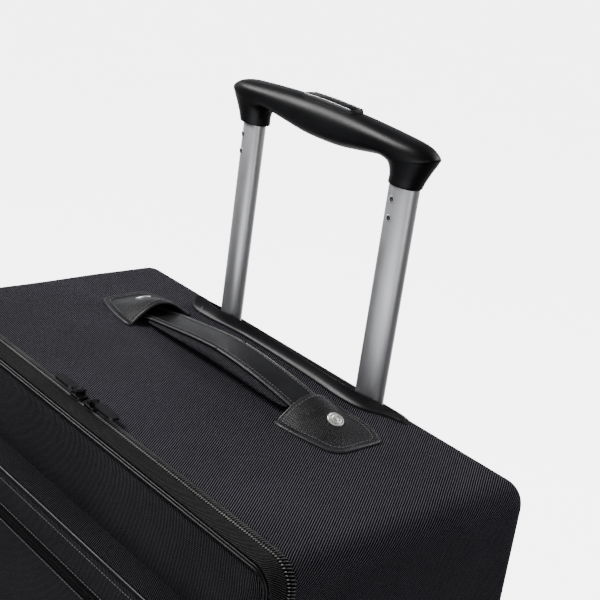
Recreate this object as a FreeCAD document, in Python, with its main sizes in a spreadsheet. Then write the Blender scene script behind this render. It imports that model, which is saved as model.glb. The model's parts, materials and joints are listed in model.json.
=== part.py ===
import FreeCAD, Part
import math
import os

import Sketcher

# Softside upright suitcase with a telescopic trolley handle.
# Millimetres. +X is the right-hand side, -Y the front, +Z up.
# The origin is the centre of the bounding box at floor level.

os.makedirs("parts", exist_ok=True)
doc = FreeCAD.newDocument("suitcase")
sheet = doc.addObject("Spreadsheet::Sheet", "sizes")
Vector = FreeCAD.Vector
UP = Vector(0, 0, 1)

# ---------------------------------------------------------------- driving dimensions

SIZES = {
    # case
    "case_width": 465, "case_top": 661, "case_bottom": 40, "corner_round": 24,
    "back_plane": 138, "zip_plane": -76, "front_plane": -92, "wall": 4,
    "shell_front": -66, "side_reach": 14, "end_reach": 6,
    # trolley tubes
    "tube_spacing": 172, "tube_line": 116, "tube_tilt": 10, "tube_skin": 1.2,
    "upper_long": 24.6, "upper_short": 14.2,
    "middle_long": 28.2, "middle_short": 17.8,
    "outer_long": 31.8, "outer_short": 21.4,
    "upper_foot": 470, "upper_head": 847,
    "middle_foot": 250, "middle_head": 654,
    "outer_foot": 120, "outer_head": 646,
    "block_height": 18, "block_long": 25, "block_short": 14.6,
    # grip
    "grip_foot": 832, "grip_middle": 855.3, "grip_half_height": 14.2, "grip_half_depth": 14.6,
    "leg_half_depth": 9.7,
    "cavity_floor": 850, "yoke_base": 856, "yoke_height": 3.5, "button_top": 872.5,
    "button_length": 51, "button_width": 9, "frame_length": 60, "frame_width": 14,
    "frame_base": 866, "frame_top": 871.5, "rod_diameter": 3, "pin_diameter": 5.2,
    "pin_height": 460,
    # bezel
    "bezel_length": 262, "bezel_front": 101, "bezel_back": 135, "lip_top": 664,
    "ridge_top": 674, "trough_front": 105, "trough_back": 128, "trough_length": 244,
    "trough_floor": 652, "neck_foot": 646, "rear_rim": 663,
    # top and side carry handles
    "chape_inner": 95, "chape_outer": 151, "chape_front": 29, "chape_rear": 89,
    "chape_height": 17, "strap_width": 28, "strap_centre": 59, "strap_rise": 18,
    "strap_skin": 3, "strap_reach": 93, "top_handle_shift": -13,
    "stud_diameter": 12.6, "stud_height": 2.2,
    # wheels
    "wheel_diameter": 64, "wheel_width": 24, "wheel_centre": 112, "wheel_across": 199,
    "hub_diameter": 46, "axle_diameter": 8,
    "housing_inner": 174, "housing_outer": 224, "housing_front": 70, "housing_top": 96,
    # zip
    "zip_proud": 1, "zip_gap": 0.3, "tape_skin": 2.5, "hinge_cord": 2.2,
    # front pockets
    "upper_pocket_foot": 390, "upper_pocket_head": 600, "upper_pocket_depth": 26,
    "lower_pocket_foot": 80, "lower_pocket_head": 370, "lower_pocket_depth": 44.2,
    "pocket_width": 390, "pocket_wall": 2.5, "pocket_round": 24,
}


def fill_sheet():
    """Put each driving dimension in its own row, with its name as the alias."""
    for row, (alias, number) in enumerate(SIZES.items(), start=1):
        sheet.set(f"A{row}", alias)
        sheet.set(f"B{row}", str(number))
        sheet.setAlias(f"B{row}", alias)
    doc.recompute()


def value(formula):
    """Work out a formula of the sheet's aliases in the sheet's own scratch cell."""
    sheet.set("D1", "=" + str(formula))
    sheet.recompute()
    return float(sheet.get("D1"))


def prefixed(formula):
    """The same formula as an expression that another object can be bound to."""
    text = str(formula)
    for alias in sorted(SIZES, key=len, reverse=True):
        text = text.replace(alias, "<" + str(list(SIZES).index(alias)) + ">")
    for index, alias in enumerate(SIZES):
        text = text.replace(f"<{index}>", "sizes." + alias)
    return text


def bind(piece, formulas):
    """Bind properties of a piece to formulas of the sheet."""
    for name, formula in formulas.items():
        piece.setExpression(name, prefixed(formula))


nodes = {}


def node(piece, name):
    """Name a finished sub-part: its label names its file."""
    piece.Label = name
    nodes[name] = piece
    return piece


# ---------------------------------------------------------------- primitives and booleans

def box(x, y, z, length, width, height, name="block"):
    """A box from its low corner, every number bound to the sheet."""
    piece = doc.addObject("Part::Box", name)
    bind(piece, {
        "Length": length, "Width": width, "Height": height,
        "Placement.Base.x": x, "Placement.Base.y": y, "Placement.Base.z": z,
    })
    return piece


TURNS = {
    "x": FreeCAD.Rotation(Vector(0, 1, 0), 90),
    "y": FreeCAD.Rotation(Vector(1, 0, 0), -90),
    "z": FreeCAD.Rotation(),
}


def rod(x, y, z, diameter, length, along="z", name="rod"):
    """A cylinder that starts at a point and runs along +X, +Y or +Z."""
    piece = doc.addObject("Part::Cylinder", name)
    piece.Placement = FreeCAD.Placement(Vector(), TURNS[along])
    bind(piece, {
        "Radius": f"({diameter}) / 2", "Height": length,
        "Placement.Base.x": x, "Placement.Base.y": y, "Placement.Base.z": z,
    })
    return piece


def taper(x, y, z, foot_diameter, head_diameter, length, along="z", name="taper"):
    """A cone frustum that starts at a point and runs along +X, +Y or +Z."""
    piece = doc.addObject("Part::Cone", name)
    piece.Placement = FreeCAD.Placement(Vector(), TURNS[along])
    bind(piece, {
        "Radius1": f"({foot_diameter}) / 2", "Radius2": f"({head_diameter}) / 2",
        "Height": length,
        "Placement.Base.x": x, "Placement.Base.y": y, "Placement.Base.z": z,
    })
    return piece


def group(pieces, name="group"):
    """Several separate solids as one object."""
    piece = doc.addObject("Part::Compound", name)
    piece.Links = pieces
    return piece


def cut(base, *tools):
    """The base with every tool taken away."""
    piece = doc.addObject("Part::Cut", "cut")
    piece.Base = base
    piece.Tool = tools[0] if len(tools) == 1 else group(list(tools), "tools")
    return piece


def common(base, tool):
    """What two pieces have in common."""
    piece = doc.addObject("Part::Common", "common")
    piece.Base = base
    piece.Tool = tool
    return piece


def fuse(*pieces):
    """Several overlapping pieces as one solid."""
    piece = doc.addObject("Part::MultiFuse", "fuse")
    piece.Shapes = list(pieces)
    piece.Refine = True
    return piece


# ---------------------------------------------------------------- sketched bodies

def sketch_on(body, name, role):
    """A sketch on one of a body's own origin planes."""
    plane = [item for item in body.Origin.OriginFeatures if item.Role == role][0]
    sketch = body.newObject("Sketcher::SketchObject", name)
    sketch.AttachmentSupport = [(plane, "")]
    sketch.MapMode = "FlatFace"
    return sketch


def bound_distance(sketch, kind, items, formula):
    """A sketch dimension that follows the sheet."""
    index = sketch.addConstraint(Sketcher.Constraint(kind, *items, value(formula)))
    sketch.setExpression(f"Constraints[{index}]", prefixed(formula))


def rounded_loop(sketch, left, bottom, width, height, radius):
    """A rectangle with rounded corners, fully dimensioned from the sheet."""
    x0, y0, r = value(left), value(bottom), value(radius)
    x1, y1 = x0 + value(width), y0 + value(height)
    first = sketch.GeometryCount
    corners = [(x0 + r, y0), (x1 - r, y0), (x1, y0 + r), (x1, y1 - r),
               (x1 - r, y1), (x0 + r, y1), (x0, y1 - r), (x0, y0 + r)]
    points = [Vector(x, y, 0) for x, y in corners]
    centres = [Vector(x1 - r, y0 + r, 0), Vector(x1 - r, y1 - r, 0),
               Vector(x0 + r, y1 - r, 0), Vector(x0 + r, y0 + r, 0)]
    for side in range(4):
        sketch.addGeometry(Part.LineSegment(points[2 * side], points[2 * side + 1]), False)
        circle = Part.Circle(centres[side], Vector(0, 0, 1), r)
        start = math.radians(270 + 90 * side)
        arc = Part.ArcOfCircle(circle, start, start + math.pi / 2)
        sketch.addGeometry(arc, False)
    for side in range(4):
        line = first + 2 * side
        arc = line + 1
        following = first + (2 * side + 2) % 8
        sketch.addConstraint(Sketcher.Constraint("Tangent", line, 2, arc, 1))
        sketch.addConstraint(Sketcher.Constraint("Tangent", arc, 2, following, 1))
        sketch.addConstraint(
            Sketcher.Constraint("Vertical" if side % 2 else "Horizontal", line))
    for side in range(1, 4):
        sketch.addConstraint(Sketcher.Constraint("Equal", first + 1, first + 2 * side + 1))
    bound_distance(sketch, "Radius", (first + 1,), radius)
    bound_distance(sketch, "DistanceY", (-1, 1, first, 1), bottom)
    bound_distance(sketch, "DistanceY", (first, 1, first + 4, 1), height)
    bound_distance(sketch, "DistanceX", (-1, 1, first + 6, 1), left)
    bound_distance(sketch, "DistanceX", (first + 6, 1, first + 2, 1), width)


def extruded(name, role, loops, length, base):
    """A body padded from rounded loops; base is the body's own place."""
    body = doc.addObject("PartDesign::Body", name)
    sketch = sketch_on(body, name + "_outline", role)
    for loop in loops:
        rounded_loop(sketch, *loop)
    pad = body.newObject("PartDesign::Pad", name + "_pad")
    pad.Profile = sketch
    bind(pad, {"Length": length})
    body.Tip = pad
    for axis, formula in zip("xyz", base):
        bind(body, {f"Placement.Base.{axis}": formula})
    return body


def frame_loop(inset, radius="corner_round"):
    """The case's front outline, moved inwards by an inset."""
    return (f"-case_width / 2 + {inset}", f"case_bottom + {inset}",
            f"case_width - 2 * ({inset})", f"case_top - case_bottom - 2 * ({inset})",
            f"{radius} - ({inset})")


def case_ring(name, outer_inset, inner_inset, rear, depth):
    """A hollow ring round the case whose rear edge is at Y = rear."""
    loops = [frame_loop(outer_inset), frame_loop(inner_inset)]
    return extruded(name, "XZ_Plane", loops, depth, ("0", rear, "0"))


def lathe(name, profile, base):
    """A body turned about X from a closed profile of (along, radius) formulas."""
    body = doc.addObject("PartDesign::Body", name)
    sketch = sketch_on(body, name + "_profile", "XY_Plane")
    spots = [Vector(value(along), value(radius), 0) for along, radius in profile]
    count = len(spots)
    for index in range(count):
        line = Part.LineSegment(spots[index], spots[(index + 1) % count])
        sketch.addGeometry(line, False)
    for index in range(count):
        following = (index + 1) % count
        sketch.addConstraint(Sketcher.Constraint("Coincident", index, 2, following, 1))
    for index, (along, radius) in enumerate(profile):
        bound_distance(sketch, "DistanceX", (-1, 1, index, 1), along)
        bound_distance(sketch, "DistanceY", (-1, 1, index, 1), radius)
    turned = body.newObject("PartDesign::Revolution", name + "_turn")
    turned.Profile = sketch
    turned.ReferenceAxis = (sketch, ["H_Axis"])
    turned.Angle = 360
    body.Tip = turned
    for axis, formula in zip("xyz", base):
        bind(body, {f"Placement.Base.{axis}": formula})
    return body


# ---------------------------------------------------------------- shaped features

def feature(name, shape):
    """A node whose shape is made with Part's own functions."""
    piece = doc.addObject("Part::Feature", name)
    piece.Shape = shape
    return node(piece, name)


def signed_power(number, power):
    """A power that keeps the sign of its base."""
    return math.copysign(abs(number) ** power, number)


def oval(centre, first, second, half_first, half_second, squareness=2.3, count=12):
    """A closed wire of two smooth halves, between an ellipse and a rectangle."""
    points = []
    for step in range(count + 1):
        angle = 2 * math.pi * step / count
        along = half_first * signed_power(math.cos(angle), 2 / squareness)
        across = half_second * signed_power(math.sin(angle), 2 / squareness)
        points.append(centre + first * along + second * across)
    points[-1] = points[0]
    middle = count // 2
    halves = []
    for some in (points[:middle + 1], points[middle:]):
        curve = Part.BSplineCurve()
        curve.interpolate(Points=some)
        halves.append(curve.toShape())
    return Part.Wire(halves)


def tube_axes(side):
    """Long and short directions of a tube's section, swept back at its outer end."""
    turn = math.radians(value("tube_tilt")) * side
    return Vector(math.cos(turn), math.sin(turn), 0), Vector(-math.sin(turn), math.cos(turn), 0)


def tube_centre(side, height=0.0):
    """A point on a tube's centre line."""
    return Vector(side * value("tube_spacing / 2"), value("tube_line"), height)


def stadium(centre, along, across, long_size, short_size):
    """A flat face with two straight sides and two round ends."""
    radius = short_size / 2
    run = long_size / 2 - radius
    a = centre + along * run + across * radius
    b = centre - along * run + across * radius
    c = centre - along * run - across * radius
    d = centre + along * run - across * radius
    left = centre - along * (run + radius)
    right = centre + along * (run + radius)
    edges = [Part.LineSegment(a, b).toShape(), Part.Arc(b, left, c).toShape(),
             Part.LineSegment(c, d).toShape(), Part.Arc(d, right, a).toShape()]
    return Part.Face(Part.Wire(edges))


def tube_prism(side, stage, foot, head, extra=0.0):
    """A solid prism with the outer section of one tube stage, grown by extra."""
    along, across = tube_axes(side)
    face = stadium(tube_centre(side, foot), along, across,
                   value(stage + "_long") + extra, value(stage + "_short") + extra)
    return face.extrude(UP * (head - foot))


SIDES = (("left", -1), ("right", 1))


def tube_body(name, stage, side):
    """One thin-walled trolley tube, turned about its own axis by the tilt."""
    outer_long, outer_short = f"{stage}_long", f"{stage}_short"
    inner_long = f"{stage}_long - 2 * tube_skin"
    inner_short = f"{stage}_short - 2 * tube_skin"
    loops = []
    for wide, deep in ((outer_long, outer_short), (inner_long, inner_short)):
        loops.append((f"-({wide}) / 2", f"-({deep}) / 2", wide, deep, f"({deep}) * 0.49"))
    base = (f"{side} * tube_spacing / 2", "tube_line", f"{stage}_foot")
    body = extruded(name, "XY_Plane", loops, f"{stage}_head - {stage}_foot", base)
    body.Placement = FreeCAD.Placement(
        body.Placement.Base, FreeCAD.Rotation(UP, side * value("tube_tilt")))
    bind(body, {"Placement.Base.x": base[0], "Placement.Base.y": base[1],
                "Placement.Base.z": base[2]})
    return node(body, name)


# ---------------------------------------------------------------- fabric case

def build_case():
    """The sewn panels, their frame and lining, and the moulded base."""
    wide = "case_width / 2 - corner_round"
    housing_room = group([
        box("housing_inner - 0.3", "housing_front - 0.3", "case_bottom - 1",
            "housing_outer - housing_inner + 0.6", "80", "housing_top - case_bottom + 1.3"),
        box("-housing_outer - 0.3", "housing_front - 0.3", "case_bottom - 1",
            "housing_outer - housing_inner + 0.6", "80", "housing_top - case_bottom + 1.3"),
    ], "housing_room")
    shell_depth = "back_plane - wall - shell_front"
    ring = case_ring("shell_ring", "0", "wall", "back_plane - wall", shell_depth)
    high = "case_top - corner_round"
    low = "case_bottom + corner_round"

    top = common(ring, box(f"-({wide})", "shell_front", high, f"2 * ({wide})",
                           shell_depth, "corner_round"))
    mouth = box("-bezel_length / 2 + 9", "bezel_front + 2", "case_top - 2 * wall",
                "bezel_length - 18", "bezel_back - bezel_front - 6", "3 * wall")
    node(cut(top, mouth), "top_panel")

    hinge_ring = case_ring("hinge_ring", "0", "tape_skin", "shell_front",
                           "shell_front - zip_plane - zip_gap")
    below = box("-case_width", "-200", "0", "2 * case_width", "400", low)
    bottom = common(ring, box(f"-({wide})", "shell_front", "case_bottom", f"2 * ({wide})",
                              shell_depth, "corner_round"))
    cord = rod(f"-({wide})", "zip_plane", "case_bottom", "hinge_cord", f"2 * ({wide})", "x")
    node(cut(fuse(bottom, common(hinge_ring, below), cord), housing_room), "bottom_panel")

    for name, start in (("left", "-case_width / 2"), ("right", wide)):
        slab = box(start, "shell_front", "case_bottom", "corner_round", shell_depth,
                   "case_top - case_bottom")
        node(cut(common(ring, slab), housing_room), f"side_panel_{name}")

    back = extruded("back_plate", "XZ_Plane", [frame_loop("0")], "wall", ("0", "back_plane", "0"))
    node(cut(back, housing_room), "back_panel")

    board = extruded("back_board", "XZ_Plane",
                     [("-200", "case_bottom + 70", "400", "case_top - case_bottom - 95", "20")],
                     "3", ("0", "back_plane - wall - 0.5", "0"))
    node(board, "back_board")

    outer = extruded("lining_outer", "XZ_Plane", [frame_loop("9")], "166", ("0", "100", "0"))
    inner = extruded("lining_inner", "XZ_Plane", [frame_loop("10.2")], "170", ("0", "98.8", "0"))
    node(cut(outer, inner, housing_room), "lining")

    build_hoops()
    build_base()


def hoop(plane):
    """A closed rod hoop just inside the shell, in the plane Y = plane."""
    inset = value("wall") + 2.3
    half = value("case_width / 2") - inset
    foot = value("case_bottom") + inset
    head = value("case_top") - inset
    turn = value("corner_round") - inset
    edges = []
    corners = [(half, foot, 270), (half, head, 0), (-half, head, 90), (-half, foot, 180)]
    for index, (x, z, start) in enumerate(corners):
        centre = Vector(x - math.copysign(turn, x), plane, foot + turn if z == foot else head - turn)
        spots = []
        for angle in (start, start + 45, start + 90):
            spin = math.radians(angle)
            spots.append(centre + Vector(math.cos(spin), 0, math.sin(spin)) * turn)
        if edges:
            edges.append(Part.LineSegment(last, spots[0]).toShape())
        else:
            first = spots[0]
        edges.append(Part.Arc(*spots).toShape())
        last = spots[2]
    edges.append(Part.LineSegment(last, first).toShape())
    path = Part.Wire(edges)
    circle = Part.Circle(first, edges[0].tangentAt(edges[0].FirstParameter), 2.0)
    return path.makePipeShell([Part.Wire(circle.toShape())], True, True)


def build_hoops():
    """Two sprung steel hoops that keep the soft case in shape."""
    feature("frame_hoops", Part.Compound([hoop(-60.0), hoop(60.0)]))


def build_base():
    """Moulded tray with its front feet, wheel housings, side feet and back rails."""
    tray = box("-172", "-60", "case_bottom - 5", "344", "196", "5")
    feet = [taper(f"{side} * 150", "-38", "0", "28", "36", "case_bottom - 4")
            for _, side in SIDES]
    node(fuse(tray, *feet), "base_tray")

    for name, side in SIDES:
        low = "housing_inner" if side > 0 else "-housing_outer"
        span = "housing_outer - housing_inner"
        upper = box(low, "housing_front", "case_bottom", span,
                    "back_plane - housing_front", "housing_top - case_bottom")
        cheeks = box(low, "wheel_centre - 20", "20", span, "40", "30")
        well_start = f"{side} * wheel_across - wheel_width / 2 - 2"
        well = rod(well_start, "wheel_centre", "wheel_diameter / 2", "wheel_diameter + 7",
                   "wheel_width + 4", "x")
        drop = box(well_start, "wheel_centre - 21", "0", "wheel_width + 4", "60",
                   "wheel_diameter / 2")
        mouth = box(well_start, "wheel_centre", "0", "wheel_width + 4", "60",
                    "wheel_diameter / 2 + 30")
        bore = rod(f"{side} * wheel_across - 20", "wheel_centre", "wheel_diameter / 2",
                   "axle_diameter", "40", "x")
        node(cut(fuse(upper, cheeks), well, drop, mouth, bore), f"wheel_housing_{name}")

    axles = [rod(f"{side} * wheel_across - 20", "wheel_centre", "wheel_diameter / 2",
                 "axle_diameter", "40", "x") for _, side in SIDES]
    node(group(axles), "wheel_axles")

    studs = [taper("-case_width / 2 - side_reach", depth, height, "18", "27", "side_reach", "x")
             for height in ("case_bottom + 75", "case_top - 75") for depth in ("-25", "85")]
    node(group(studs), "side_feet")

    rails = [extruded("kick_rail", "XZ_Plane", [(f"{side} * 150 - 8", "125", "16", "430", "7")],
                      "end_reach", ("0", "back_plane + end_reach", "0")) for _, side in SIDES]
    node(group(rails), "kick_rails")


# ---------------------------------------------------------------- trolley

def bezel_outline(height, inset, front):
    """Plan outline of the bezel: straight front and back, drawn-in round ends."""
    half = value("bezel_length / 2") - inset
    back = value("bezel_back") - inset
    middle = value("tube_line")
    run = half * 0.66
    turn = half - 12
    edges = [
        Part.LineSegment(Vector(-run, front, height), Vector(run, front, height)),
        Part.Arc(Vector(run, front, height), Vector((run + half) / 2 + 4, front + 6, height),
                 Vector(half, middle, height)),
        Part.Arc(Vector(half, middle, height), Vector(half - 3.5, back - 5, height),
                 Vector(turn, back, height)),
        Part.LineSegment(Vector(turn, back, height), Vector(-turn, back, height)),
        Part.Arc(Vector(-turn, back, height), Vector(-half + 3.5, back - 5, height),
                 Vector(-half, middle, height)),
        Part.Arc(Vector(-half, middle, height), Vector(-(run + half) / 2 - 4, front + 6, height),
                 Vector(-run, front, height)),
    ]
    return Part.Wire([edge.toShape() for edge in edges])


def build_bezel():
    """The moulded trough in the top panel that docks the grip and guides the tubes."""
    base, lip, ridge = value("case_top"), value("lip_top"), value("ridge_top")
    front = value("bezel_front")
    flange = Part.Face(bezel_outline(base, 0, front)).extrude(UP * (lip - base))
    slope = Part.makeLoft([bezel_outline(lip, 0.4, front + 0.4),
                           bezel_outline(ridge, 3, value("trough_front") - 1)], True, True)
    neck_front, neck_back = front + 2.5, value("bezel_back") - 4.5
    neck_foot = value("neck_foot")
    neck_length = value("bezel_length - 19")
    neck = Part.makeBox(neck_length, neck_back - neck_front, base - neck_foot + 1,
                        Vector(-neck_length / 2, neck_front, neck_foot))
    floor = value("trough_floor")
    trough_length = value("trough_length") - 4
    depth = value("trough_back - trough_front")
    trough = stadium(Vector(0, (value("trough_front") + value("trough_back")) / 2, floor),
                     Vector(1, 0, 0), Vector(0, 1, 0), trough_length, depth)
    front_edge, back_edge = value("trough_front"), value("bezel_back + 1")
    above = Part.makePolygon([Vector(-value("bezel_length"), y, z) for y, z in (
        (front_edge, ridge), (back_edge, value("rear_rim")), (back_edge, ridge + 1),
        (front_edge, ridge + 1), (front_edge, ridge))])
    behind_ridge = Part.Face(above).extrude(Vector(2 * value("bezel_length"), 0, 0))
    solid = flange.fuse([slope, neck]).removeSplitter().cut(behind_ridge)
    solid = solid.cut(trough.extrude(UP * 40))
    for _, side in SIDES:
        solid = solid.cut(tube_prism(side, "middle", neck_foot - 1, floor + 1, 0.5))
    feature("bezel", solid)


def build_tubes():
    """Three telescoping stages on each side, and the block that foots them."""
    for stage in ("outer", "middle", "upper"):
        for name, side in SIDES:
            tube_body(f"{stage}_tube_{name}", stage, side)
    foot = extruded("tube_footing", "XY_Plane",
                    [("-tube_spacing / 2 - 24", "tube_line - 14", "tube_spacing + 48", "28", "8")],
                    "22", ("0", "0", "outer_foot - 22"))
    node(foot, "tube_footing")


def build_locks():
    """Lock block, sprung pin and push rod at the foot of each upper tube."""
    blocks, rods = [], []
    reach = value("middle_long / 2 - tube_skin") - 0.9
    height = value("pin_height")
    for name, side in SIDES:
        along, across = tube_axes(side)
        inward = along * -side
        middle = tube_centre(side, height)
        head = value("upper_foot")
        foot = head - value("block_height")
        plug = stadium(tube_centre(side, foot), along, across,
                       value("block_long"), value("block_short"))
        plug = plug.extrude(UP * (head - foot))
        bore = Part.makeCylinder(value("pin_diameter / 2") + 0.3, 30, middle - inward * 8.5, inward)
        shaft = Part.makeCylinder(value("rod_diameter / 2") + 0.5, 14,
                                  tube_centre(side, head - 14), UP)
        blocks.append(plug.cut(bore).cut(shaft))
        pin = Part.makeCylinder(value("pin_diameter / 2"), reach + 5, middle - inward * 5, inward)
        slot = Part.makeBox(6.3, value("rod_diameter") + 0.6, 12)
        slot.Placement = FreeCAD.Placement(
            middle - inward * 1.8 - across * side * (-value("rod_diameter / 2") - 0.3)
            - UP * 6, FreeCAD.Rotation(inward, UP.cross(inward), UP, "ZXY"))
        feature(f"lock_pin_{name}", pin.cut(slot))
        rods.append(Part.makeCylinder(value("rod_diameter / 2"), value("yoke_base") - height - 1,
                                      tube_centre(side, height + 1), UP))
    feature("lock_blocks", Part.Compound(blocks))
    feature("push_rods", Part.Compound(rods))


# Inner and outer edges of the grip's sections from the foot of a leg to the bar, in mm
# outward from the tube's axis and up from the grip's foot, then the share of the full depth.
GRIP_STATIONS = (
    ((-13.4, 0.0), (13.6, 0.0), 0.0),
    ((-13.2, 6.0), (16.2, 6.5), 0.1),
    ((-14.4, 10.5), (20.4, 14.5), 0.3),
    ((-17.0, 13.6), (25.2, 23.6), 0.55),
    ((-20.0, 14.8), (14.0, 31.6), 0.8),
    ((-26.0, 15.2), (-8.0, 33.8), 0.9),
    ((-46.0, 12.3), (-42.0, 36.2), 0.97),
)


def grip_sections():
    """Section centres, half sizes and directions of the grip from leg to leg."""
    depth_leg, depth_bar = value("leg_half_depth"), value("grip_half_depth")
    origin = Vector(value("tube_spacing / 2"), value("tube_line"), value("grip_foot"))
    half = []
    for inner, outer, share in GRIP_STATIONS:
        inner_point = origin + Vector(inner[0], 0, inner[1])
        outer_point = origin + Vector(outer[0], 0, outer[1])
        radial = outer_point - inner_point
        size = radial.Length / 2
        depth = depth_leg + (depth_bar - depth_leg) * share
        half.append(((inner_point + outer_point) / 2, radial.normalize(), size, depth))
    half.append((Vector(0, origin.y, value("grip_middle")), UP, value("grip_half_height"), depth_bar))
    mirrored = [(Vector(-c.x, c.y, c.z), Vector(-r.x, 0, r.z), a, b) for c, r, a, b in half]
    return mirrored + half[-2::-1]


def build_grip():
    """The hollow handgrip, its release button with frame, yoke and return spring."""
    wires = [oval(centre, radial, Vector(0, 1, 0), high, deep)
             for centre, radial, high, deep in grip_sections()]
    shell = Part.makeLoft(wires, True, False)
    if shell.Volume < 0:
        shell = shell.reversed()
    line = value("tube_line")
    floor, yoke = value("cavity_floor"), value("yoke_base")
    spread = value("tube_spacing / 2")

    def centred(length, width, foot, head):
        """A box centred on the tube line in plan."""
        return Part.makeBox(length, width, head - foot, Vector(-length / 2, line - width / 2, foot))

    cavity = centred(2 * spread + 10, 9.2, floor, yoke + value("yoke_height") + 1)
    well = centred(value("button_length") + 1, value("button_width") + 1, yoke - 1, 900)
    seat = centred(value("frame_length"), value("frame_width"), value("frame_base"), 900)
    shell = shell.cut(cavity).cut(well).cut(seat)
    for _, side in SIDES:
        shell = shell.cut(tube_prism(side, "upper", value("grip_foot") - 5,
                                     value("upper_head") + 0.1, 0.24))
        shell = shell.cut(Part.makeCylinder(value("rod_diameter / 2") + 1, 20,
                                            tube_centre(side, value("upper_head") - 10), UP))
    feature("grip_shell", shell)

    frame = stadium(Vector(0, line, value("frame_base")), Vector(1, 0, 0), Vector(0, 1, 0),
                    value("frame_length"), value("frame_width"))
    frame = frame.extrude(UP * value("frame_top - frame_base"))
    opening = centred(value("button_length") + 1, value("button_width") + 1, 800, 900)
    feature("button_frame", frame.cut(opening))

    button = extruded("release_button", "XY_Plane",
                      [("-button_length / 2", "-button_width / 2", "button_length",
                        "button_width", "4")],
                      "button_top - yoke_base - yoke_height",
                      ("0", "tube_line", "yoke_base + yoke_height"))
    node(button, "release_button")
    bar = box("-tube_spacing / 2 - 4", "tube_line - 3.5", "yoke_base", "tube_spacing + 8", "7",
              "yoke_height")
    node(bar, "release_yoke")
    coil = cut(rod("0", "tube_line", "cavity_floor", "8", "yoke_base - cavity_floor"),
               rod("0", "tube_line", "cavity_floor - 1", "6", "yoke_base - cavity_floor + 2"))
    node(coil, "button_spring")

    screws = []
    for _, side in SIDES:
        along, across = tube_axes(side)
        for drop in (10.5, 24.5):
            seat_point = (tube_centre(side, value("grip_foot") - drop)
                          - across * value("upper_short / 2") - along * 5.0)
            screws.append(Part.makeCylinder(1.5, 0.3, seat_point, across * -1))
    feature("grip_screws", Part.Compound(screws))


# ---------------------------------------------------------------- carry handles

def bent_strip(half_length, width, top_end, top_middle, skin_end, skin_middle):
    """A strip bent to an arc over a flat panel, with its own thickness at ends and middle."""
    def rim(x, z):
        return Vector(x, -width / 2, z)

    top = Part.Arc(rim(-half_length, top_end), rim(0, top_middle), rim(half_length, top_end))
    foot_end, foot_middle = top_end - skin_end, top_middle - skin_middle
    foot = Part.Arc(rim(half_length, foot_end), rim(0, foot_middle), rim(-half_length, foot_end))
    ends = [Part.LineSegment(rim(half_length, top_end), rim(half_length, foot_end)),
            Part.LineSegment(rim(-half_length, foot_end), rim(-half_length, top_end))]
    wire = Part.Wire([top.toShape(), ends[0].toShape(), foot.toShape(), ends[1].toShape()])
    return Part.Face(wire).extrude(Vector(0, width, 0))


def chape_hump(side, height):
    """One stitched chape: a flat-edged hump that arches over the strap's end."""
    inner, outer = value("chape_inner"), value("chape_outer")
    half = value("chape_rear - chape_front") / 2
    wires = []
    for share, rise in ((0.0, 1.0), (0.35, 0.93), (0.7, 0.5), (1.0, 0.2)):
        x = side * (inner + (outer - inner) * share)
        edge = 2.5
        crown = max(height * rise, edge + 0.5)
        foot_a, foot_b = Vector(x, -half, 0), Vector(x, half, 0)
        side_a, side_b = Vector(x, -half, edge), Vector(x, half, edge)
        arch = Part.Arc(side_b, Vector(x, 0, crown), side_a)
        wires.append(Part.Wire([Part.LineSegment(foot_a, foot_b).toShape(),
                                Part.LineSegment(foot_b, side_b).toShape(), arch.toShape(),
                                Part.LineSegment(side_a, foot_a).toShape()]))
    return Part.makeLoft(wires, True, True)


FINGER_GAP = 5.2


def build_handles():
    """The sprung strap handles on the top and on the right-hand side."""
    skin = value("strap_skin")
    reach = value("strap_reach")
    width = value("strap_width")
    top_place = FreeCAD.Placement(
        Vector(value("top_handle_shift"), value("strap_centre"), value("case_top")),
        FreeCAD.Rotation())
    side_place = FreeCAD.Placement(
        Vector(value("case_width / 2"), 20, 370), FreeCAD.Rotation(Vector(0, 1, 0), 90))
    handles = (("top", top_place, value("strap_rise"), value("chape_height")),
               ("side", side_place, value("side_reach"), value("side_reach") - 1))
    studs = []
    for name, place, rise, height in handles:
        strap = bent_strip(reach, width, rise * 0.68, rise, skin, skin)
        strap.Placement = place
        feature(f"{name}_handle_strap", strap)
        pad_reach = reach - 9
        crest = rise - skin - 0.05
        pad_top = crest - rise * 0.32 * (pad_reach / reach) ** 2
        pad_solid = bent_strip(pad_reach, width - 2, pad_top, crest,
                               pad_top - FINGER_GAP + 0.6, crest - FINGER_GAP + 0.05)
        pad_solid.Placement = place
        feature(f"{name}_handle_pad", pad_solid)
        humps = []
        for _, side in SIDES:
            hump = chape_hump(side, height)
            hump.Placement = place
            humps.append(hump)
            spot = side * (value("chape_inner") + 28)
            dome = Part.makeCylinder(value("stud_diameter / 2"), value("stud_height"),
                                     Vector(spot, 0, height * 0.62))
            dome = dome.cut(chape_hump(side, height))
            dome.Placement = place
            studs.append(dome)
        if name == "top":
            feature("chape_left", humps[0])
            feature("chape_right", humps[1])
        else:
            feature("side_chapes", Part.Compound(humps))
    feature("chape_studs", Part.Compound(studs))


# ---------------------------------------------------------------- lid, zip and pockets

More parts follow.
